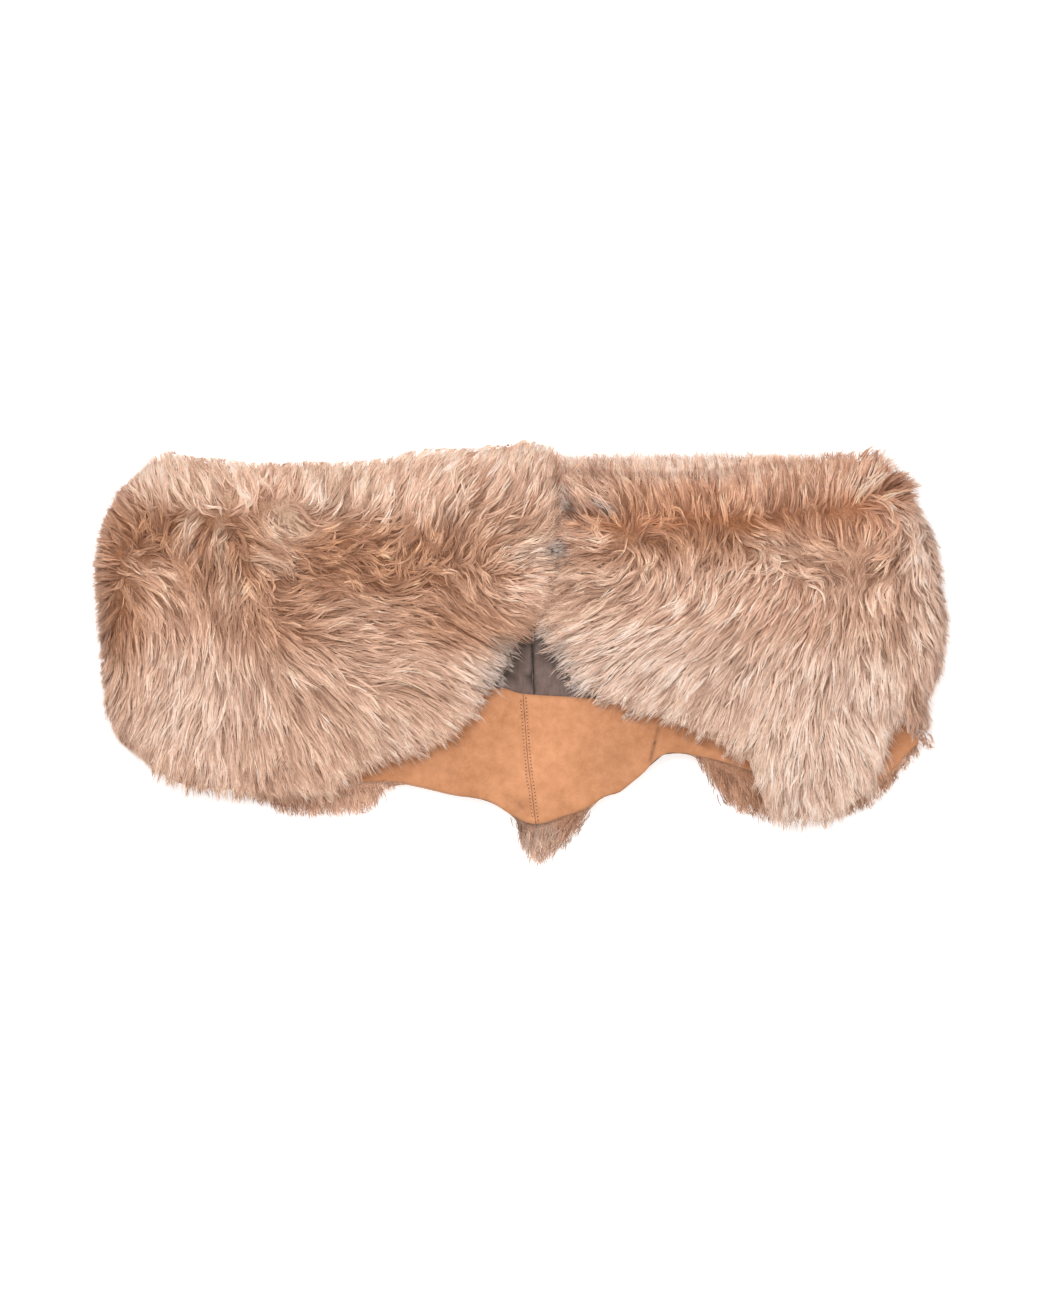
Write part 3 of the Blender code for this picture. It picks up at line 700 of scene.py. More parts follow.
def lambskin_wool():
    """Matt wool: fibre that stands up from the skin, in strands of 1.8 mm in light and dark, drawn out in
    Z, with the colour of the hair that grows out of it in the attribute."""
    material, tree, shader = new_material("lambskin_under_wool")
    place = add_node(tree, "TexCoord").outputs["Object"]
    fibre = add_node(tree, "VectorMath", {"operation": "MULTIPLY"}, i0=place, i1=(1, 1, 0.12))
    crimp = add_node(tree, "TexNoise", Vector=fibre.outputs["Vector"], Scale=PER_METRE / 1.8,
                     Detail=5.0, Roughness=0.7)
    shade = add_node(tree, "MapRange", Value=crimp.outputs["Fac"], From_Min=0.35, From_Max=0.65,
                     To_Min=0.6, To_Max=1.2)
    tone = add_node(tree, "Attribute", {"attribute_name": "hair"})
    colour = add_node(tree, "VectorMath", {"operation": "SCALE"}, i0=tone.outputs["Color"],
                      Scale=shade.outputs["Result"])
    bump = add_node(tree, "Bump", Strength=0.8, Distance=2 * MM, Height=crimp.outputs["Fac"])
    set_inputs(tree, shader, Base_Color=colour.outputs["Vector"], Normal=bump.outputs["Normal"],
               Roughness=0.9, Specular_IOR_Level=0.15)
    return material


WOOL = lambskin_wool()


def wool(name, inside, outside, side, shade):
    """A closed pile of wool between two like grids, which are joined along their rim, with its colour at
    each of their points."""
    over = grid_quads(outside.shape[:2], side)
    index = np.arange(inside[..., 0].size).reshape(inside.shape[:2])
    rim = np.concatenate([index[0, :-1], index[:-1, -1], index[-1, :0:-1], index[:0:-1, 0]])[::side]
    after = np.roll(rim, -1)
    walls = np.stack([rim, after, after + index.size, rim + index.size], axis=-1)
    quads = np.concatenate([over[:, ::-1], over + index.size, walls])
    points = np.concatenate([inside.reshape(-1, 3), outside.reshape(-1, 3)])
    piece = add_mesh(name, points, quads.ravel(), np.full(len(quads), 4), [WOOL])
    paint(piece, "hair", np.tile(shade.reshape(-1, 3), (2, 1)))
    return piece


# How light the wool is painted against the hair: the front's darker and warmer, as painted shade where
# the light hardly reaches it, and the back's a little lighter. How far inside the hair's outline the
# front's wool ends, and how far from the centre front. How far past the skin the back's reaches: a share
# of the fringe at the hem, and millimetres at the neck edge.
FRONT_WOOL_SHADE = (0.8, 0.752, 0.704)
BACK_WOOL_SHADE = 1.024
WOOL_INSET = 7.0
WOOL_EDGE = 0.6
WOOL_FRINGE = 0.75
WOOL_NECK = 0.3 * NECK_OVERHANG

for half in (LEFT, RIGHT):
    # The hair ends below the side fold, and there the wool takes up the whole height of the pile.
    u, y = front_grid(half, WOOL_EDGE, WOOL_INSET, WOOL_INSET, 64, 52)
    x, angle = turned(half, u, y)
    share = UNDER_WOOL + (1 - UNDER_WOOL) * np.clip(-np.degrees(angle) / 40, 0, 1)
    height = PILE_ROOT + (front_height(half, u, y) - PILE_ROOT) * share
    shade = hair_colour(PILE_TONES[half.name], u[..., None], y[..., None]) * FRONT_WOOL_SHADE
    pile = wool(f"{half.name}_front_under_wool", lie(half, u, y, PILE_ROOT), lie(half, u, y, height),
                half.side, shade)
    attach(pile, "root")
    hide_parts(f"{half.name}_front_fur")

    # The back's wool thins out past the edges of the skin: its top comes down and its underside up.
    x, y = back_grid(half, np.linspace(0, 1, 72), np.linspace(0, 1, 44),
                     lambda x: curve(BACK_HEM, x) - WOOL_FRINGE * straight(FRINGE, x),
                     lambda x: curve(BACK_NECK, x) + WOOL_NECK)
    hem, neck = curve(BACK_HEM, x), curve(BACK_NECK, x)
    past = np.clip(hem - y, 0, None) / np.maximum(hem - y[0], 1)
    past = past + np.clip(y - neck, 0, None) / WOOL_NECK
    top = back_top(x, y) * (1 - 0.72 * past**1.5)
    low = 2.5 * past**2
    shade = hair_colour(BACK_TONES, x[..., None], y[..., None]) * BACK_WOOL_SHADE
    pile = wool(f"{half.name}_back_under_wool", np.stack([x, y, low], axis=-1),
                np.stack([x, y, top], axis=-1), half.side, shade)
    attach(pile, "root")
    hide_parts(f"{half.name}_back_fur")

# ---------------------------------------------------------------------------------------------------
# Front hair. The long hair of the lambskin, 25 to 60 mm, lies over in locks. Each lock grows out of one
# spot and follows the way the fleece is combed there, and its hairs come together towards the tip.

# How far apart locks grow, how many wisps a lock has and hairs a wisp, and how far its wisps spread.
LOCK_SPACING = 7.5
WISPS = 5
HAIRS = 4
LOCK_SPREAD = 3.1
WISP_WIDTH = 1.5
HAIR_WIDTH = 0.85
# How much the hairs of a wisp fan out at its tip, how long one swing of a lock is, and how far the comb
# is felt: closely, and weakly over the gaps in it.
FAN = 1.8
SWING_LENGTH = 32.0
COMB_NEAR, COMB_FAR, COMB_FAR_WEIGHT = 12.0, 40.0, 0.004
# The points along a hair, as shares of its length.
ALONG = np.array((0, 0.22, 0.42, 0.62, 0.82, 1))

# The way the hair lies: x, y, heading in degrees anticlockwise from +X.
COMB = {
    "left": (
        # Up to the neck edge.
        (-327, 161, 103), (-347, 154, 113), (-368, 124, 145), (-361, 106, 128), (-341, 113, 110),
        (-301, 154, 107), (-279, 157, 115), (-265, 150, 118), (-244, 157, 112), (-228, 140, 80),
        (-212, 160, 82), (-185, 150, 83), (-155, 150, 78), (-125, 146, 70), (-95, 150, 62),
        (-65, 146, 60), (-36, 150, 55), (-21, 161, 57), (2, 180, 65), (17, 158, 70), (-28, 132, 48),
        (-73, 120, 85), (-50, 119, 55), (-300, 135, 112), (-270, 135, 122), (-200, 136, 84),
        (-165, 132, 84), (-130, 128, 78), (-95, 128, 74), (-5, 140, 58), (10, 125, 65),
        # The fountain and the locks round the whorl.
        (-212, 122, 268), (-228, 118, 228), (-195, 118, 310), (-299, 113, 245), (-292, 95, 235),
        (-272, 92, 270), (-256, 114, 345), (-223, 90, 352), (-216, 78, 330), (-230, 72, 320),
        (-243, 60, 287), (-265, 54, 247), (-258, 74, 262), (-238, 98, 0),
        # The left side.
        (-334, 88, 5), (-342, 75, 335), (-341, 65, 330), (-320, 58, 330), (-354, 51, 305),
        (-364, 37, 275), (-375, 65, 180), (-385, 95, 165), (-392, 65, 180), (-396, 30, 190),
        (-390, 0, 195), (-380, 37, 195), (-306, 37, 290), (-285, 30, 270), (-392, -40, 215),
        # The tousled middle.
        (-196, 44, 20), (-190, 22, 352), (-177, 95, 40), (-160, 105, 10), (-125, 105, 5),
        (-95, 83, 75), (-65, 90, 85), (-42, 95, 75), (-28, 116, 35), (-12, 113, 5), (2, 90, 22),
        (2, 76, 8), (9, 61, 352), (2, 46, 340), (17, 31, 320), (-13, 23, 335), (-185, 76, 325),
        (-133, 68, 312), (-110, 61, 65), (-73, 68, 315), (-50, 61, 290), (-155, 61, 322),
        (-125, 53, 335), (-95, 46, 340), (-170, 41, 30), (-177, 29, 22), (-65, 34, 335),
        (-36, 38, 308), (-155, 22, 2), (-125, 22, 355), (-95, 15, 345), (-65, 15, 335),
        (-36, 15, 335), (-13, 8, 330), (-185, -7, 325), (-162, 0, 335), (-140, -15, 342),
        (-118, -22, 25), (-95, -37, 335), (-80, -45, 330), (-58, -37, 325), (-43, -22, 330),
        (-28, -22, 332), (-162, -45, 315), (-140, -60, 310), (-110, -60, 315), (-80, -67, 315),
        (-58, -60, 317), (-185, -60, 302), (-162, -82, 303), (-133, -89, 305), (-103, -86, 305),
        (-185, -104, 292), (-162, -112, 297),
        # The long straight hair.
        (-382, 30, 210), (-374, 2, 270), (-367, 30, 272), (-360, 2, 278), (-346, 9, 280),
        (-331, -12, 262), (-317, -20, 257), (-303, -5, 267), (-281, 2, 270), (-267, 9, 272),
        (-252, -12, 280), (-238, -5, 287), (-224, -20, 300), (-209, 2, 315), (-188, -20, 317),
        (-174, -41, 315), (-360, -41, 260), (-367, -55, 257), (-346, -55, 252), (-331, -48, 247),
        (-317, -55, 245), (-303, -63, 242), (-288, -55, 252), (-267, -55, 267), (-245, -55, 277),
        (-224, -63, 282), (-202, -63, 295), (-181, -70, 305), (-349, -81, 247), (-331, -91, 252),
        (-303, -98, 260), (-274, -98, 265), (-245, -98, 272), (-217, -98, 280), (-188, -106, 295),
        (-174, -120, 295),
    ),
    "right": (
        # Up to the neck edge, and the curl at the end of the parting.
        (133, 129, 115), (154, 136, 110), (182, 136, 90), (209, 136, 83), (209, 154, 92),
        (234, 154, 97), (257, 147, 97), (284, 166, 88), (310, 166, 80), (310, 151, 37),
        (329, 154, 62), (341, 160, 68), (348, 145, 30), (104, 116, 60), (107, 130, 95),
        (98, 142, 130), (82, 146, 160), (64, 144, 178), (50, 150, 110), (120, 148, 100),
        (45, 162, 114), (60, 158, 100), (80, 158, 95), (100, 158, 92), (120, 160, 94),
        (160, 150, 96), (290, 148, 85), (270, 140, 92), (88, 122, 95), (75, 128, 130),
        (46, 140, 115), (360, 150, 35), (365, 125, 330),
        # Under the parting.
        (51, 101, 180), (64, 88, 185), (57, 67, 190), (44, 53, 195), (85, 101, 210),
        (104, 95, 255), (113, 103, 15), (126, 104, 350), (137, 96, 300), (138, 80, 262),
        (161, 95, 255), (113, 74, 257), (126, 57, 260), (154, 67, 255), (168, 60, 255),
        (188, 67, 235), (209, 60, 230), (85, 60, 210), (99, 46, 220), (71, 39, 202), (44, 33, 200),
        (30, 19, 205), (126, 33, 217), (154, 33, 225), (195, 33, 230), (182, 99, 275),
        (209, 97, 345), (234, 91, 340), (253, 82, 345), (291, 78, 357), (259, 70, 10),
        (221, 72, 220), (228, 59, 242), (247, 106, 280), (277, 110, 270), (292, 110, 277),
        (310, 110, 287), (329, 120, 320), (341, 100, 250), (329, 88, 215), (310, 78, 195),
        (348, 91, 257), (354, 122, 305), (360, 103, 287), (367, 84, 282), (373, 59, 295),
        (360, 72, 275), (360, 47, 285), (373, 28, 287), (209, 47, 230), (247, 53, 240),
        (272, 47, 245), (297, 47, 270), (310, 59, 255), (259, 28, 235), (291, 28, 267),
        (322, 28, 280), (385, 80, 320), (392, 40, 315), (392, 0, 310), (385, -40, 300),
        # The long hair.
        (30, 34, 200), (57, 31, 205), (85, 31, 205), (113, 24, 202), (140, 31, 210),
        (168, 31, 225), (195, 24, 228), (223, 24, 230), (37, 11, 202), (64, 4, 205), (99, 4, 210),
        (140, 4, 210), (182, -3, 228), (44, -10, 210), (71, -17, 220), (113, -17, 225),
        (154, -17, 230), (195, -24, 245), (223, -24, 245), (30, -31, 220), (64, -38, 222),
        (99, -38, 228), (133, -45, 237), (168, -45, 247), (202, -51, 255), (99, -54, 228),
        (140, -62, 242), (175, -72, 247), (209, -72, 252), (209, -93, 252), (223, -120, 267),
        (237, 24, 237), (265, 24, 252), (292, 17, 262), (313, 24, 295), (327, 17, 280),
        (368, 17, 290), (375, -10, 285), (341, -17, 270), (237, -10, 242), (265, -10, 252),
        (292, -17, 262), (313, -17, 275), (361, -24, 285), (372, -28, 295), (224, -37, 247),
        (251, -44, 257), (279, -44, 257), (316, -44, 272), (328, -51, 270), (347, -48, 277),
        (361, -58, 287), (361, -79, 245), (237, -72, 257), (265, -72, 262), (299, -72, 302),
        (313, -79, 302), (320, -92, 302), (210, -99, 252), (231, -120, 270), (251, -106, 260),
        (272, -106, 270), (292, -106, 287), (306, -106, 297), (237, -141, 270), (258, -141, 280),
        (279, -134, 280), (299, -127, 292),
    ),
}

HAIR_LENGTH = 40.0
# Where the hair is longer or shorter than that: x, y, reaches, millimetres.
LENGTHS = (
    (-372, 60, 14, 90, -14), (-120, 75, 90, 28, -10), (-270, -40, 110, 60, 20),
    (-100, -40, 80, 50, 12), (-170, 130, 160, 26, 14), (200, 140, 120, 20, 6),
    (190, -20, 120, 70, 18), (370, 60, 14, 90, -10), (250, 85, 60, 14, -8),
)

# How far the heading of a lock swings, in degrees.
WAVE = 8.0
# Where the hair is wavy or tousled, and swings further: x, y, reaches, degrees.
WAVES = (
    (-250, 140, 60, 30, 12), (-60, 150, 90, 30, 6), (-120, 80, 90, 34, 14), (-320, 80, 40, 40, 8),
    (-230, 80, 40, 30, 10), (60, 140, 40, 24, 14), (250, 85, 60, 18, 22), (330, 100, 40, 50, 12),
    (100, 80, 50, 24, 12),
)

# Where the hair stands away from the round of the side: x, y, reaches, how far at its tip.
FLARES = (
    (-352, 160, 34, 26, 8), (-380, 15, 16, 40, 2), (-356, -92, 20, 14, 7), (-372, -70, 20, 30, 4),
    (338, 160, 34, 26, 22), (362, -70, 22, 20, 9),
)
# How much further than the edge of the pile the hair reaches at the neck edge and the hem: x,
# millimetres. And where single locks reach further or less far: x, y, reaches, millimetres.
NECK_REACH = ((-404, 12), (-380, 13), (-345, 10), (-325, 1), (-310, -4), (-285, -4), (-240, -2),
              (-150, -4), (-95, -3), (0, -8), (30, 6), (45, 14), (110, 17), (165, 15), (220, 9),
              (240, 5), (300, 1), (312, 2), (326, 9), (336, 19), (404, 19))
HEM_REACH = ((-404, 0), (-350, 1), (-320, 1.5), (-280, 0), (70, 0), (100, -3), (145, -7), (180, -5),
             (198, 0), (215, 2.5), (290, 2.5), (316, 1.5), (330, 2), (338, 0), (404, 0))
HEM_LOCKS = ((-26, -40, 11, 11, -8), (17, 3, 7, 9, 7), (27, -8, 7, 7, 3), (56, -39, 12, 8, 10),
             (331, -108, 10, 12, 12))

# Where the hair is near black at the root and white at the tip: x, y, reaches, how much.
BADGERED = (
    (-16, -14, 11, 16, 0.8), (-28, -34, 12, 9, 0.9), (32, -8, 12, 12, 0.7), (48, -32, 16, 10, 0.8),
    (20, 14, 9, 8, 0.8), (0, 86, 14, 8, 0.25), (31, 90, 11, 7, 1.0), (73, 128, 10, 6, 1.0),
    (43, 126, 8, 8, 0.8), (36, 143, 8, 8, 0.5), (-295, 112, 8, 10, 0.15), (-60, 122, 12, 6, 0.3),
)

# Pale hair is less yellow than dark hair: how much faster green and blue rise than red.
PALING = np.array((1.0, 1.25, 1.4))
# How much lighter or darker a lock, a wisp and a hair are by chance, how much darker the sides of a lock
# and of a wisp are painted, as shade on their round, and how much lighter all the hair is, and its tips.
LOCK_TONE, WISP_TONE, HAIR_TONE = 0.11, 0.12, 0.13
LOCK_SIDE_SHADE, WISP_SIDE_SHADE = 0.07, 0.03
LIGHTER, TIP_LIGHTER = 0.17, 0.10
# The size of the soft mottling over the hair.
MOTTLE = 13
# The palest that a hair gets, in linear red, green and blue.
PALEST = (0.95, 0.77, 0.66)


def unit(vectors):
    """The vectors with their length made 1."""
    return vectors / (np.linalg.norm(vectors, axis=-1, keepdims=True) + 1e-9)


def combed(comb, x, y):
    """The heading at x and y, as a unit vector: the mean of the comb's headings, each weighed by a bell
    of the near reach, and by a weak one of the far reach."""
    at_x, at_y, degrees = np.array(comb, float).T
    square = (x[..., None] - at_x) ** 2 + (y[..., None] - at_y) ** 2
    near, far = np.exp(-square / (2 * COMB_NEAR**2)), np.exp(-square / (2 * COMB_FAR**2))
    weight = near + COMB_FAR_WEIGHT * far + 1e-9
    heading = np.radians(degrees)
    return unit(np.stack([(weight * np.cos(heading)).sum(-1), (weight * np.sin(heading)).sum(-1)], axis=-1))


def spreading(comb, x, y):
    """How fast the hair lies apart from x and y on, for each millimetre: the comb's divergence."""
    wide = combed(comb, x + 5, y)[:, 0] - combed(comb, x - 5, y)[:, 0]
    high = combed(comb, x, y + 5)[:, 1] - combed(comb, x, y - 5)[:, 1]
    return (wide + high) / 10


def turn_by(vectors, angle):
    """The vectors turned anticlockwise."""
    x, y = vectors[..., 0], vectors[..., 1]
    c, s = np.cos(angle), np.sin(angle)
    return np.stack([x * c - y * s, x * s + y * c], axis=-1)


def net_of_roots(x_range, y_range, spacing):
    """The points of an even net."""
    x, y = np.meshgrid(np.arange(*x_range, spacing), np.arange(*y_range, spacing))
    return np.stack([x.ravel(), y.ravel()], axis=-1)


Locks = namedtuple("Locks", "root length wave phase bias aside")


def grow_locks(root, length, wave):
    """Locks at these roots, each with its own length, swing and bias. aside is how far off a lock reads
    the comb, so that locks mix where the hair parts."""
    n = len(root)
    swing = np.radians(wave) * chance.uniform(0.5, 1.3, n)
    bias = np.radians(chance.normal(0, 5, n)) + 0.7 * swing * chance.normal(0, 1, n)
    return Locks(root, length * chance.uniform(0.75, 1.2, n), swing, chance.uniform(0, 2 * np.pi, n), bias,
                 chance.normal(0, 5.0, root.shape))


def middle_lines(comb, locks):
    """The middle line of each lock, as 13 points in u and y, up to 1.2 times its length: a walk along
    the comb, in tenths of the length, whose heading swings as it goes."""
    walk = [locks.root]
    for step in range(12):
        gone = locks.length * 1.2 * step / 12
        swing = locks.wave * np.sin(2 * np.pi * gone / SWING_LENGTH + locks.phase) + locks.bias
        heading = turn_by(combed(comb, *(walk[-1] + locks.aside).T), swing)
        walk.append(walk[-1] + heading * (locks.length / 10)[:, None])
    return np.stack(walk, axis=1)


def end_at_outline(comb, locks, inside, spare):
    """The locks, shortened to end where their middle line comes further out of the outline than they
    have to spare."""
    line = middle_lines(comb, locks)
    out = inside(line[..., 0], line[..., 1]) < -spare[:, None]
    reached = np.where(out.any(axis=1), np.maximum(out.argmax(axis=1), 1) / 10, 1.0)
    return locks._replace(length=locks.length * np.clip(reached, 0.22, 1))


def hairs_of_locks(line, wisps, hairs, spread, gather, least, fan):
    """The hairs of each lock, as points in u and y. A lock divides into wisps: each follows the middle
    line for its own share of the length, from least on, starts off to one side of it, comes in by the
    share gather and bends away a little. The hairs of a wisp lie close together, and fan out at its tip
    by the share fan. Also gives how far to the side each hair lies in its lock and in its wisp, from
    about -2 to 2."""
    n, t = len(line), ALONG
    wisp, hair = (n, wisps, 1, 1), (n, wisps, hairs, 1)
    gather, least, fan = (np.broadcast_to(a, n)[:, None, None, None] for a in (gather, least, fan))
    share = least + (1 - least) * chance.uniform(0, 1, wisp) + 0.2 * (chance.uniform(0, 1, wisp) > 0.96)
    at = share * chance.uniform(0.72, 1.0, hair) * t * 10
    before = np.minimum(at.astype(int), 11)
    rest = (at - before)[..., None]
    lock = np.arange(n)[:, None, None, None]
    forward = unit(np.gradient(line, axis=1))[lock, before]
    middle = line[lock, before] * (1 - rest) + line[lock, before + 1] * rest
    sideways = np.stack([-forward[..., 1], forward[..., 0]], axis=-1)
    in_lock = chance.normal(0, 1, wisp) + np.zeros(hair)
    in_wisp = chance.normal(0, 1, hair)
    off = in_lock * spread * (1 - gather * t**1.3) + chance.normal(0, 1.2, wisp) * t**2
    off = off + 0.5 * np.sin(2 * np.pi * (1.3 * t + chance.uniform(0, 1, wisp)))
    off = off + in_wisp * WISP_WIDTH / 2 * (1 - 0.5 * t + fan * FAN * t**2)
    back = chance.uniform(-5, 5, wisp) + chance.uniform(-1, 1, hair)
    plan = middle + sideways * off[..., None] + forward * back[..., None]
    return plan.reshape(n, wisps * hairs, len(t), 2), in_lock.reshape(n, -1, 1), in_wisp.reshape(n, -1, 1)


def hair_ribbons(name, *arrays):
    """Each hair is a ribbon that narrows to a point: pairs of points along it, and one at its tip. It
    lies across its own direction, rolled a little, and is shaded as part of a round wisp. The arrays
    give its points, the way up, how far it is tilted to the side and its colours, by lock and hair."""
    t = ALONG
    points, upright, tilt, colours = (a.reshape(-1, len(t), a.shape[-1]) for a in arrays)
    count, steps = points.shape[:2]
    along = unit(np.gradient(points, axis=1))
    across = unit(np.cross(along, upright))
    over = np.cross(across, along)
    roll = chance.uniform(-0.4, 0.4, (count, 1, 1))
    slim = HAIR_WIDTH / 2 * (0.8 + 0.6 * t - 1.4 * t**2)
    wide = (across * np.cos(roll) + over * np.sin(roll)) * slim[:, None]
    wide = wide * chance.uniform(0.6, 1.2, (count, 1, 1))
    shade = unit(upright - tilt * across + chance.normal(0, 0.1, (count, 1, 3)))

    sides = np.stack([points[:, :-1] - wide[:, :-1], points[:, :-1] + wide[:, :-1]], axis=2)
    spots = np.concatenate([sides.reshape(count, -1, 3), points[:, -1:]], axis=1)
    stride = spots.shape[1]
    corner = np.array([(2 * k, 2 * k + 1, 2 * k + 3, 2 * k + 2) for k in range(steps - 2)]).ravel()
    corner = np.append(corner, (stride - 3, stride - 2, stride - 1))
    loops = (stride * np.arange(count)[:, None] + corner[None, :]).ravel()
    sizes = np.tile(np.append(np.full(steps - 2, 4), 3), count)
    piece = add_mesh(name, spots.reshape(-1, 3), loops, sizes, [HAIR])

    def each(values):
        """A value for each point of the mesh, from one for each point along the hairs."""
        return np.concatenate([np.repeat(values[:, :-1], 2, axis=1), values[:, -1:]], axis=1).reshape(-1, 3)

    paint(piece, "hair", each(colours))
    piece.data.normals_split_custom_set_from_vertices(each(shade).astype(np.float32))
    return piece


def tilt_of(in_lock, in_wisp):
    """How far a hair is shaded to the side, as on the round of its lock and its wisp."""
    return (0.35 * in_lock + 0.12 * in_wisp + 0 * ALONG)[..., None]


def mottle(x, y, step):
    """A soft random field round 0: random values on a net with this step, blended in between."""
    net = chance.normal(0, 1, (int(1000 / step), int(600 / step)))
    i, j = (x + 480) / step, (y + 280) / step
    a, b = i.astype(int), j.astype(int)
    p, q = i - a, j - b
    p, q = p * p * (3 - 2 * p), q * q * (3 - 2 * q)
    near = net[a, b] * (1 - q) + net[a, b + 1] * q
    far = net[a + 1, b] * (1 - q) + net[a + 1, b + 1] * q
    return near * (1 - p) + far * p


def hair_paint(tones, plan, wisps, in_lock, in_wisp, root_shade, cloud_depth):
    """The colour along each hair: the tones where its wisp lies, lighter or darker by lock, by wisp and
    by hair, and painted darker as shade at the root and at the sides of its lock and wisp. Where the
    fleece is badgered, the hair is near black at the root and white at the tip."""
    n, hairs = plan.shape[:2]
    in_each = hairs // wisps
    t = ALONG
    at = plan[:, ::in_each][:, :, (1, 5)]
    tone = np.repeat(hair_colour(tones, at[..., 0], at[..., 1]), in_each, axis=1)
    to_tip = np.clip((t - 0.2) / 0.8, 0, 1)[:, None]
    tone = tone[:, :, :1] * (1 - to_tip) + tone[:, :, 1:] * to_tip
    cloud = mottle(plan[:, :, 2, 0], plan[:, :, 2, 1], MOTTLE)[..., None]
    own = chance.normal(0, LOCK_TONE, (n, 1, 1))
    own = own + np.repeat(chance.normal(0, WISP_TONE, (n, wisps, 1)), in_each, axis=1)
    own = own + chance.normal(0, HAIR_TONE, (n, hairs, 1)) + cloud_depth[:, None, None] * cloud + LIGHTER
    # Painted shade: the sides of the lock and of the wisp darker, as on their round, and the root darker,
    # deep in the pile.
    own = own - LOCK_SIDE_SHADE * np.minimum(in_lock**2, 3) - WISP_SIDE_SHADE * np.minimum(in_wisp**2, 3)
    lighter = own - root_shade * (1 - t) ** 1.5 + TIP_LIGHTER * t
    colour = tone * np.exp(lighter[..., None] * PALING)
    middle = at.mean(axis=2)
    share = bells(BADGERED, middle[..., 0], middle[..., 1]) * chance.uniform(0.3, 1.2, (n, wisps))
    share = np.clip(np.repeat(share, in_each, axis=1), 0, 0.9)[..., None, None]
    white = np.clip((t - 0.45) / 0.4, 0, 1)[:, None]
    badgered = TONES["soot"] * (1 - white) + TONES["white"] * white
    return np.clip(colour * (1 - share) + badgered * share, 0.01, PALEST)


def inside_front(half, u, y):
    """How far inside the outline of a front panel's hair a point is, in millimetres: from the hem, the
    neck edge and the centre front."""
    hem, neck = front_edges(half, u, y)
    slope = (front_edges(half, u + 1, y)[0] - front_edges(half, u - 1, y)[0]) / 2
    return (y - hem) / np.hypot(1, slope), neck - y, half.side * (u - curve(CENTRE_FRONT, y))


def lamb_hair():
    """Keratin fibre with a soft gloss, a little lighter and darker in patches of 3 mm. The colour of each
    hair is kept in the attribute: darker at the root, as painted shade deep in the pile, and pale at
    the tip where it is weathered."""
    material, tree, shader = new_material("lambskin_long_hair")
    tone = add_node(tree, "Attribute", {"attribute_name": "hair"})
    place = add_node(tree, "TexCoord").outputs["Object"]
    streak = add_node(tree, "TexNoise", Vector=place, Scale=PER_METRE / 3.0, Detail=2.0)
    shade = add_node(tree, "MapRange", Value=streak.outputs["Fac"], From_Min=0.3, From_Max=0.7,
                     To_Min=0.93, To_Max=1.05)
    colour = add_node(tree, "VectorMath", {"operation": "SCALE"}, i0=tone.outputs["Color"],
                      Scale=shade.outputs["Result"])
    set_inputs(tree, shader, Base_Color=colour.outputs["Vector"], Roughness=0.62,
               Specular_IOR_Level=0.3, Sheen_Weight=0.1, Sheen_Roughness=0.5)
    return material


HAIR = lamb_hair()
# Each front's hair is three pieces, by the y of its roots.
HAIR_PARTS = (("hem", -400, -12), ("middle", -12, 88), ("neck", 88, 400))
# The share of the wool's height at which the hair starts, and how much darker the hair is painted
# there, as shade deep in the pile.
WOOL_DEPTH = 0.88
ROOT_PAINTED_SHADE = 0.5
# How far the tips stand away round the side, at most, and how fast they droop past the edges of the skin:
# over the suede, and elsewhere.
FLARE = 8
DROOP_OVER_SUEDE, DROOP = 0.045, 0.02
# Tips that would stand higher than this lean over.
LEAN = 49

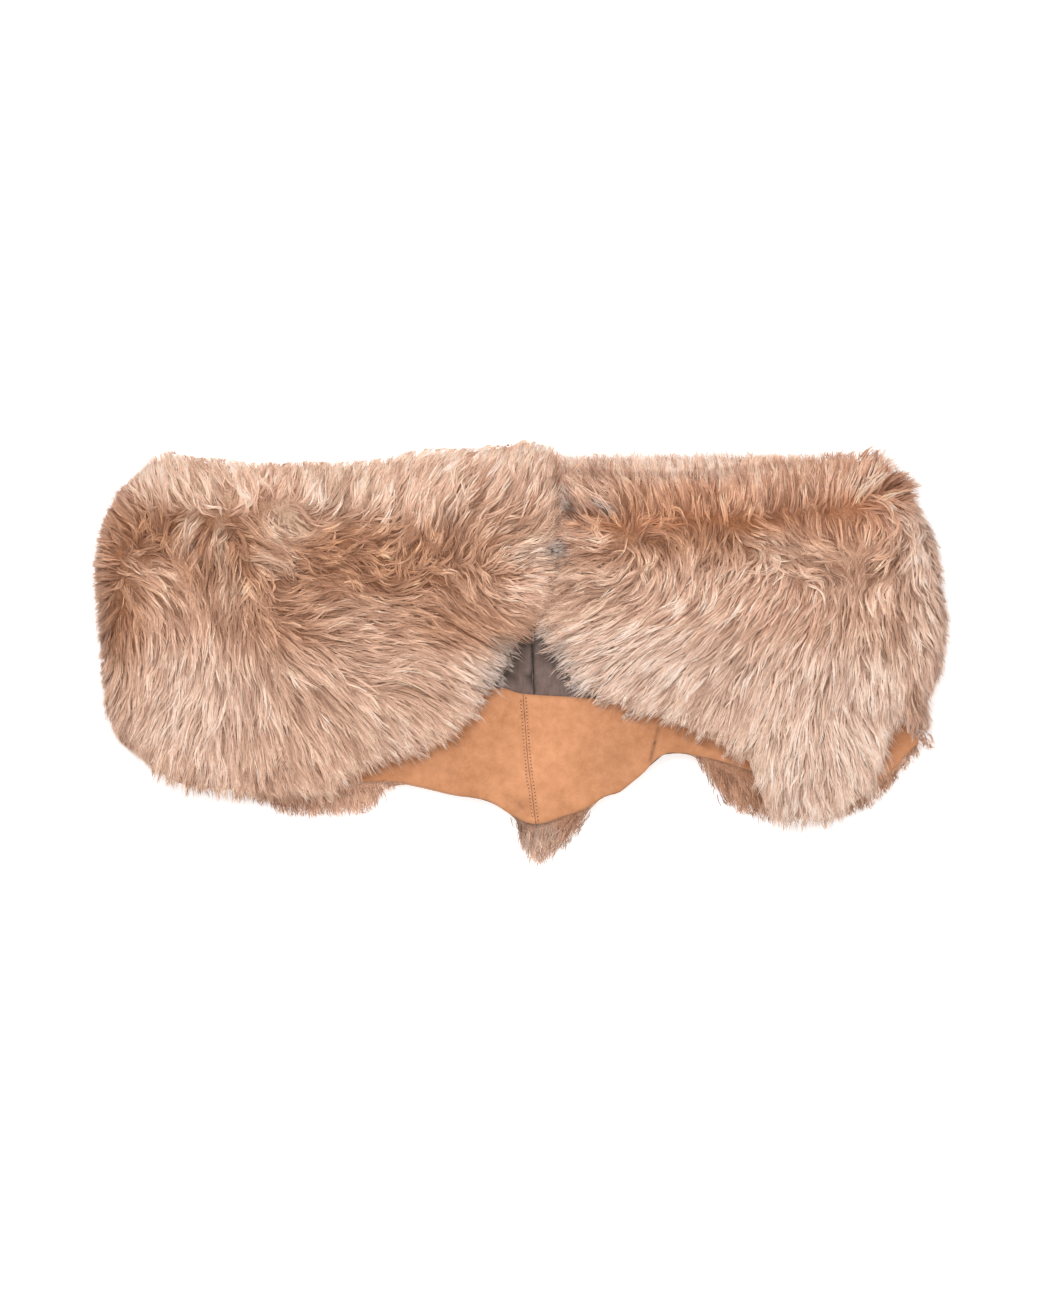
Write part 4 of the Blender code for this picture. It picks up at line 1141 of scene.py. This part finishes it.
for half in (LEFT, RIGHT):
    comb = COMB[half.name]

    def inside(u, y):
        """How far inside the outline of the hair a point is, in millimetres, round to below the fold."""
        from_hem, from_neck, from_centre = inside_front(half, u, y)
        _, angle = turned(half, u, y)
        from_side = FOLD_INSET * (angle + 0.2)
        from_neck = from_neck + straight(NECK_REACH, u)
        from_hem = from_hem + straight(HEM_REACH, u) + bells(HEM_LOCKS, u, y)
        return np.minimum(np.minimum(from_hem, from_neck), np.minimum(from_centre, from_side))

    # Roots on an even net with each one shaken, over the skin and round its side fold. Shorter locks
    # fill the partings, from which the hair lies away to both sides.
    root = net_of_roots((-404, 45) if half.side < 0 else (10, 404), (-165, 200), LOCK_SPACING)
    parting = spreading(comb, *root.T) * 14 > chance.uniform(0, 1, len(root))
    root = np.concatenate([root, root[parting]])
    short = np.arange(len(root)) >= len(parting)
    root = root + chance.uniform(-0.5, 0.5, root.shape) * LOCK_SPACING
    _, angle = turned(half, *root.T)
    from_hem, from_neck, from_centre = inside_front(half, *root.T)
    on_skin = (from_hem > chance.uniform(5, 18, len(root))) & (from_neck > chance.uniform(3, 12, len(root)))
    grows = on_skin & (from_centre > 1.5) & (np.degrees(angle) > -35)
    root, short = root[grows], short[grows]

    length = (HAIR_LENGTH + bells(LENGTHS, *root.T)) * np.where(short, 0.6, 1)
    wave = WAVE + bells(WAVES, *root.T)
    locks = grow_locks(root, length, wave)
    # Over the suede the hair ends in a ragged edge, and elsewhere it fans out to an even one.
    over_suede = (root[:, 1] < 20) & (root[:, 0] > -150) & (root[:, 0] < 200)
    spare = np.where(over_suede, chance.uniform(-4, 8, len(root)), chance.uniform(1, 7, len(root)))
    locks = end_at_outline(comb, locks, inside, spare)
    line = middle_lines(comb, locks)
    gather = np.clip(wave / 30 - 0.05, 0.1, 0.8) * chance.uniform(0.6, 1.1, len(root))
    least = np.where(over_suede, 0.66, 0.68)
    fan = np.where(over_suede, 0.3, 1) * np.clip(1.2 - inside(line[:, 10, 0], line[:, 10, 1]) / 10, 0, 1)
    plan, in_lock, in_wisp = hairs_of_locks(line, WISPS, HAIRS, LOCK_SPREAD, gather, least, fan)
    # Tips that stray past the edge of the pile are drawn in, in the plan itself, to an even fuzz.
    u, y = plan[..., 0], plan[..., 1]
    from_hem, from_neck, _ = inside_front(half, u, y)
    from_neck = from_neck + straight(NECK_REACH, u)
    from_hem = from_hem + straight(HEM_REACH, u)
    free_hem = ~over_suede[:, None, None] & (u < 330)
    y += 0.7 * np.clip(-4 - from_hem, 0, 20) * free_hem - 0.7 * np.clip(-1.5 - from_neck, 0, 20)

    # The hair rises out of the under-wool to the tips of the pile, dips a little at its tip, and droops past
    # the edges of the skin. The middle of a lock stands higher than its sides.
    t = ALONG
    tips = front_height(half, u, y)
    foot = PILE_ROOT + (tips - PILE_ROOT) * UNDER_WOOL * WOOL_DEPTH
    stand = chance.uniform(0.72, 1.0, (len(root), 1, 1)) - 0.04 * np.minimum(in_lock**2, 3)
    stand = stand + np.repeat(chance.uniform(-0.06, 0.05, (len(root), WISPS, 1)), HAIRS, axis=1)
    stand = stand - 0.02 * np.minimum(in_wisp**2, 3)
    rise = (1 - (1 - t) ** 3) * (1 - 0.12 * t**4) * stand
    _, angle = turned(half, u, y)
    past = np.clip(4 - inside(u, y), 0, 16) * (np.degrees(angle) > 60)
    flare = FLARE * chance.uniform(0, 1, in_lock.shape) ** 2 * np.cos(angle) + bells(FLARES, u, y)
    points = lie(half, u, y, foot + (tips - foot) * rise + flare * t**2)
    droop = np.where(over_suede, DROOP_OVER_SUEDE, DROOP)[:, None, None]
    rest = np.where(over_suede[:, None, None], back_top(u, y) + FACING_BOTTOM + FACING + 0.3, 0.4)
    points[..., 2] = np.maximum(points[..., 2] - droop * past**2, rest)
    points[..., 2] -= 0.5 * np.clip(points[..., 2] - LEAN, 0, None)

    upright = np.stack([half.side * np.cos(angle), 0 * angle, np.sin(angle)], axis=-1)
    cloud_depth = np.clip(wave / 85, 0.11, 0.26)
    colours = hair_paint(PILE_TONES[half.name], plan, WISPS, in_lock, in_wisp, ROOT_PAINTED_SHADE, cloud_depth)
    tilt = tilt_of(in_lock, in_wisp)

    for part, low, high in HAIR_PARTS:
        mine = (root[:, 1] >= low) & (root[:, 1] < high)
        hair = (a[mine] for a in (points, upright, tilt, colours))
        piece = hair_ribbons(f"{half.name}_front_hair_{part}", *hair)
        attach(piece, "root")

# ---------------------------------------------------------------------------------------------------
# Back hair. The same hair on the back panels, pressed flat under the wrap. It shows past the hem, in
# lobes and in a tail at the middle seam, and past the neck edge of the right front.

BACK_COMB = (
    (-330, -110, 262), (-235, -130, 275), (-200, -135, 279), (-165, -135, 283), (-135, -128, 290),
    (-60, -130, 285), (-5, -150, 275), (4, -170, 272), (14, -175, 266), (26, -165, 252), (42, -155, 240),
    (70, -140, 262), (160, -100, 285), (175, -120, 285), (195, -130, 287), (222, -140, 290),
    (260, -140, 285), (313, -138, 287), (328, -121, 288), (345, -100, 290), (358, -86, 292),
    (-330, 160, 100), (-200, 165, 90), (-60, 165, 75), (30, 163, 110), (44, 160, 118), (51, 163, 102),
    (64, 163, 97), (78, 163, 90), (93, 166, 87), (113, 166, 87), (154, 166, 95), (182, 166, 87),
    (206, 162, 80), (250, 165, 85), (330, 160, 70),
)
# Fine locks, in which each wisp is one hair.
BACK_LOCK_SPACING = 4.9
BACK_WISPS = 14
BACK_HAIRS = 1
BACK_LOCK_SPREAD = 2.7
BACK_HAIR_LENGTH = 26.0
BACK_WAVE = 9.0
# How much darker the back's hair is painted at the root, as shade deep in the pile.
BACK_ROOT_PAINTED_SHADE = 0.3
BACK_CLOUD = 0.1


def back_edges(x):
    """The y of the hem and the neck edge of the back's hair at x."""
    neck_reach = np.where(x > 20, NECK_OVERHANG, 4)
    return curve(BACK_HEM, x) - straight(FRINGE, x), curve(BACK_NECK, x) + neck_reach


def inside_back(x, y):
    """How far inside the outline of the back's hair a point is, in millimetres."""
    hem, neck = back_edges(x)
    slope = (back_edges(x + 1)[0] - back_edges(x - 1)[0]) / 2
    return np.minimum((y - hem) / np.hypot(1, slope), neck - y)


# Roots on an even net, shaken, along the hem and along the neck edge.
root = net_of_roots((-325, 369), (-195, 180), BACK_LOCK_SPACING)
root = root + chance.uniform(-0.5, 0.5, root.shape) * BACK_LOCK_SPACING
hem_skin, neck_skin = curve(BACK_HEM, root[:, 0]), curve(BACK_NECK, root[:, 0])
hem_hair, neck_hair = back_edges(root[:, 0])
near_hem = (root[:, 1] < hem_skin + 6) & (root[:, 1] > hem_hair + 3) & (hem_skin - hem_hair > 6)
near_neck = (root[:, 1] > neck_skin - 14) & (root[:, 1] < neck_hair - 4) & (np.abs(root[:, 0]) < 300)
root = root[near_hem | near_neck]

locks = grow_locks(root, BACK_HAIR_LENGTH, np.full(len(root), BACK_WAVE))
locks = end_at_outline(BACK_COMB, locks, inside_back, chance.uniform(-2.0, 4.0, len(root)))
line = middle_lines(BACK_COMB, locks)
plan, in_lock, in_wisp = hairs_of_locks(line, BACK_WISPS, BACK_HAIRS, BACK_LOCK_SPREAD, 0.15, 0.6, 0.5)
x, y = plan[..., 0], plan[..., 1]
# From under the skin it comes down towards the surface, over the whole of its reach past the edge.
fringe = np.maximum(straight(FRINGE, x), 8)
past_hem = np.clip((curve(BACK_HEM, x) - y) / fringe, 0, 1.2)
past_neck = np.clip((y - curve(BACK_NECK, x)) / NECK_OVERHANG, 0, 1.2)
layer = chance.uniform(0, 1, (len(root), 1, 1)) ** 0.5
z = (back_top(x, y) - 0.6) * (1 - 0.5 * (past_hem + past_neck) ** 1.5) * (0.45 + 0.55 * layer)
z = np.maximum(z, 0.5)
points = np.stack([x, y, z], axis=-1)
upright = np.zeros(points.shape) + (0, 0, 1)
cloud_depth = np.full(len(root), BACK_CLOUD)
colours = hair_paint(BACK_TONES, plan, BACK_WISPS, in_lock, in_wisp, BACK_ROOT_PAINTED_SHADE, cloud_depth)
tilt = tilt_of(in_lock, in_wisp)
for half in (LEFT, RIGHT):
    mine = half.side * (root[:, 0] - curve(CENTRE_BACK, root[:, 1])) > 0
    hair = (a[mine] for a in (points, upright, tilt, colours))
    piece = hair_ribbons(f"{half.name}_back_hair", *hair)
    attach(piece, "root")

# ---------------------------------------------------------------------------------------------------
# The cut. Every skin and every facing piece is cut flat, the skins to the width that lies unrolled.
# The loop below takes each half's pieces in turn and does nothing with them.

for half, skin, back_skin, facing in zip((LEFT, RIGHT), front_skins, back_skins, facings):
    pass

# ---------------------------------------------------------------------------------------------------
# Studio: a pale floor that glows a little, like a light table, an even soft light from all round and a
# large soft one from above.

paper = matt("pale_paper", "#f7f7f6", 0.9)
set_inputs(paper.node_tree, paper.node_tree.nodes["Principled BSDF"], Emission_Color=(1, 1, 1, 1),
           Emission_Strength=0.34)
# It is 8 m square, and its surface is 0.3 mm below the wrap.
corners = np.array([(-4000, -4000, -0.3), (4000, -4000, -0.3), (4000, 4000, -0.3), (-4000, 4000, -0.3)])
floor = add_mesh("floor", corners, np.arange(4), np.array([4]), [paper])

world = bpy.data.worlds.new("studio_light")
world.use_nodes = True
set_inputs(world.node_tree, world.node_tree.nodes["Background"], Color=(1, 1, 1, 1), Strength=0.98)
bpy.context.scene.world = world

softbox = bpy.data.lights.new("softbox", "AREA")
softbox.shape = "RECTANGLE"
softbox.size = 1.6
softbox.size_y = 1.2
softbox.energy = 24
lamp = bpy.data.objects.new("softbox", softbox)
lamp.location = (-0.7, 1.1, 2.2)
lamp.rotation_euler = (-0.46, -0.28, 0)
bpy.context.scene.collection.objects.link(lamp)

bpy.context.scene.view_settings.view_transform = "Standard"

# The camera looks straight down, at a frame that is 1.170 m high where it is 30 mm off the floor.
FRAME_HEIGHT = 1.170
camera = bpy.data.cameras.new("overhead")
camera.lens = 90
camera.sensor_width = 36
eye = bpy.data.objects.new("overhead", camera)
eye.location = (-0.0018, 0, 0.03 + camera.lens / camera.sensor_width * FRAME_HEIGHT)
bpy.context.scene.collection.objects.link(eye)
bpy.context.scene.camera = eye
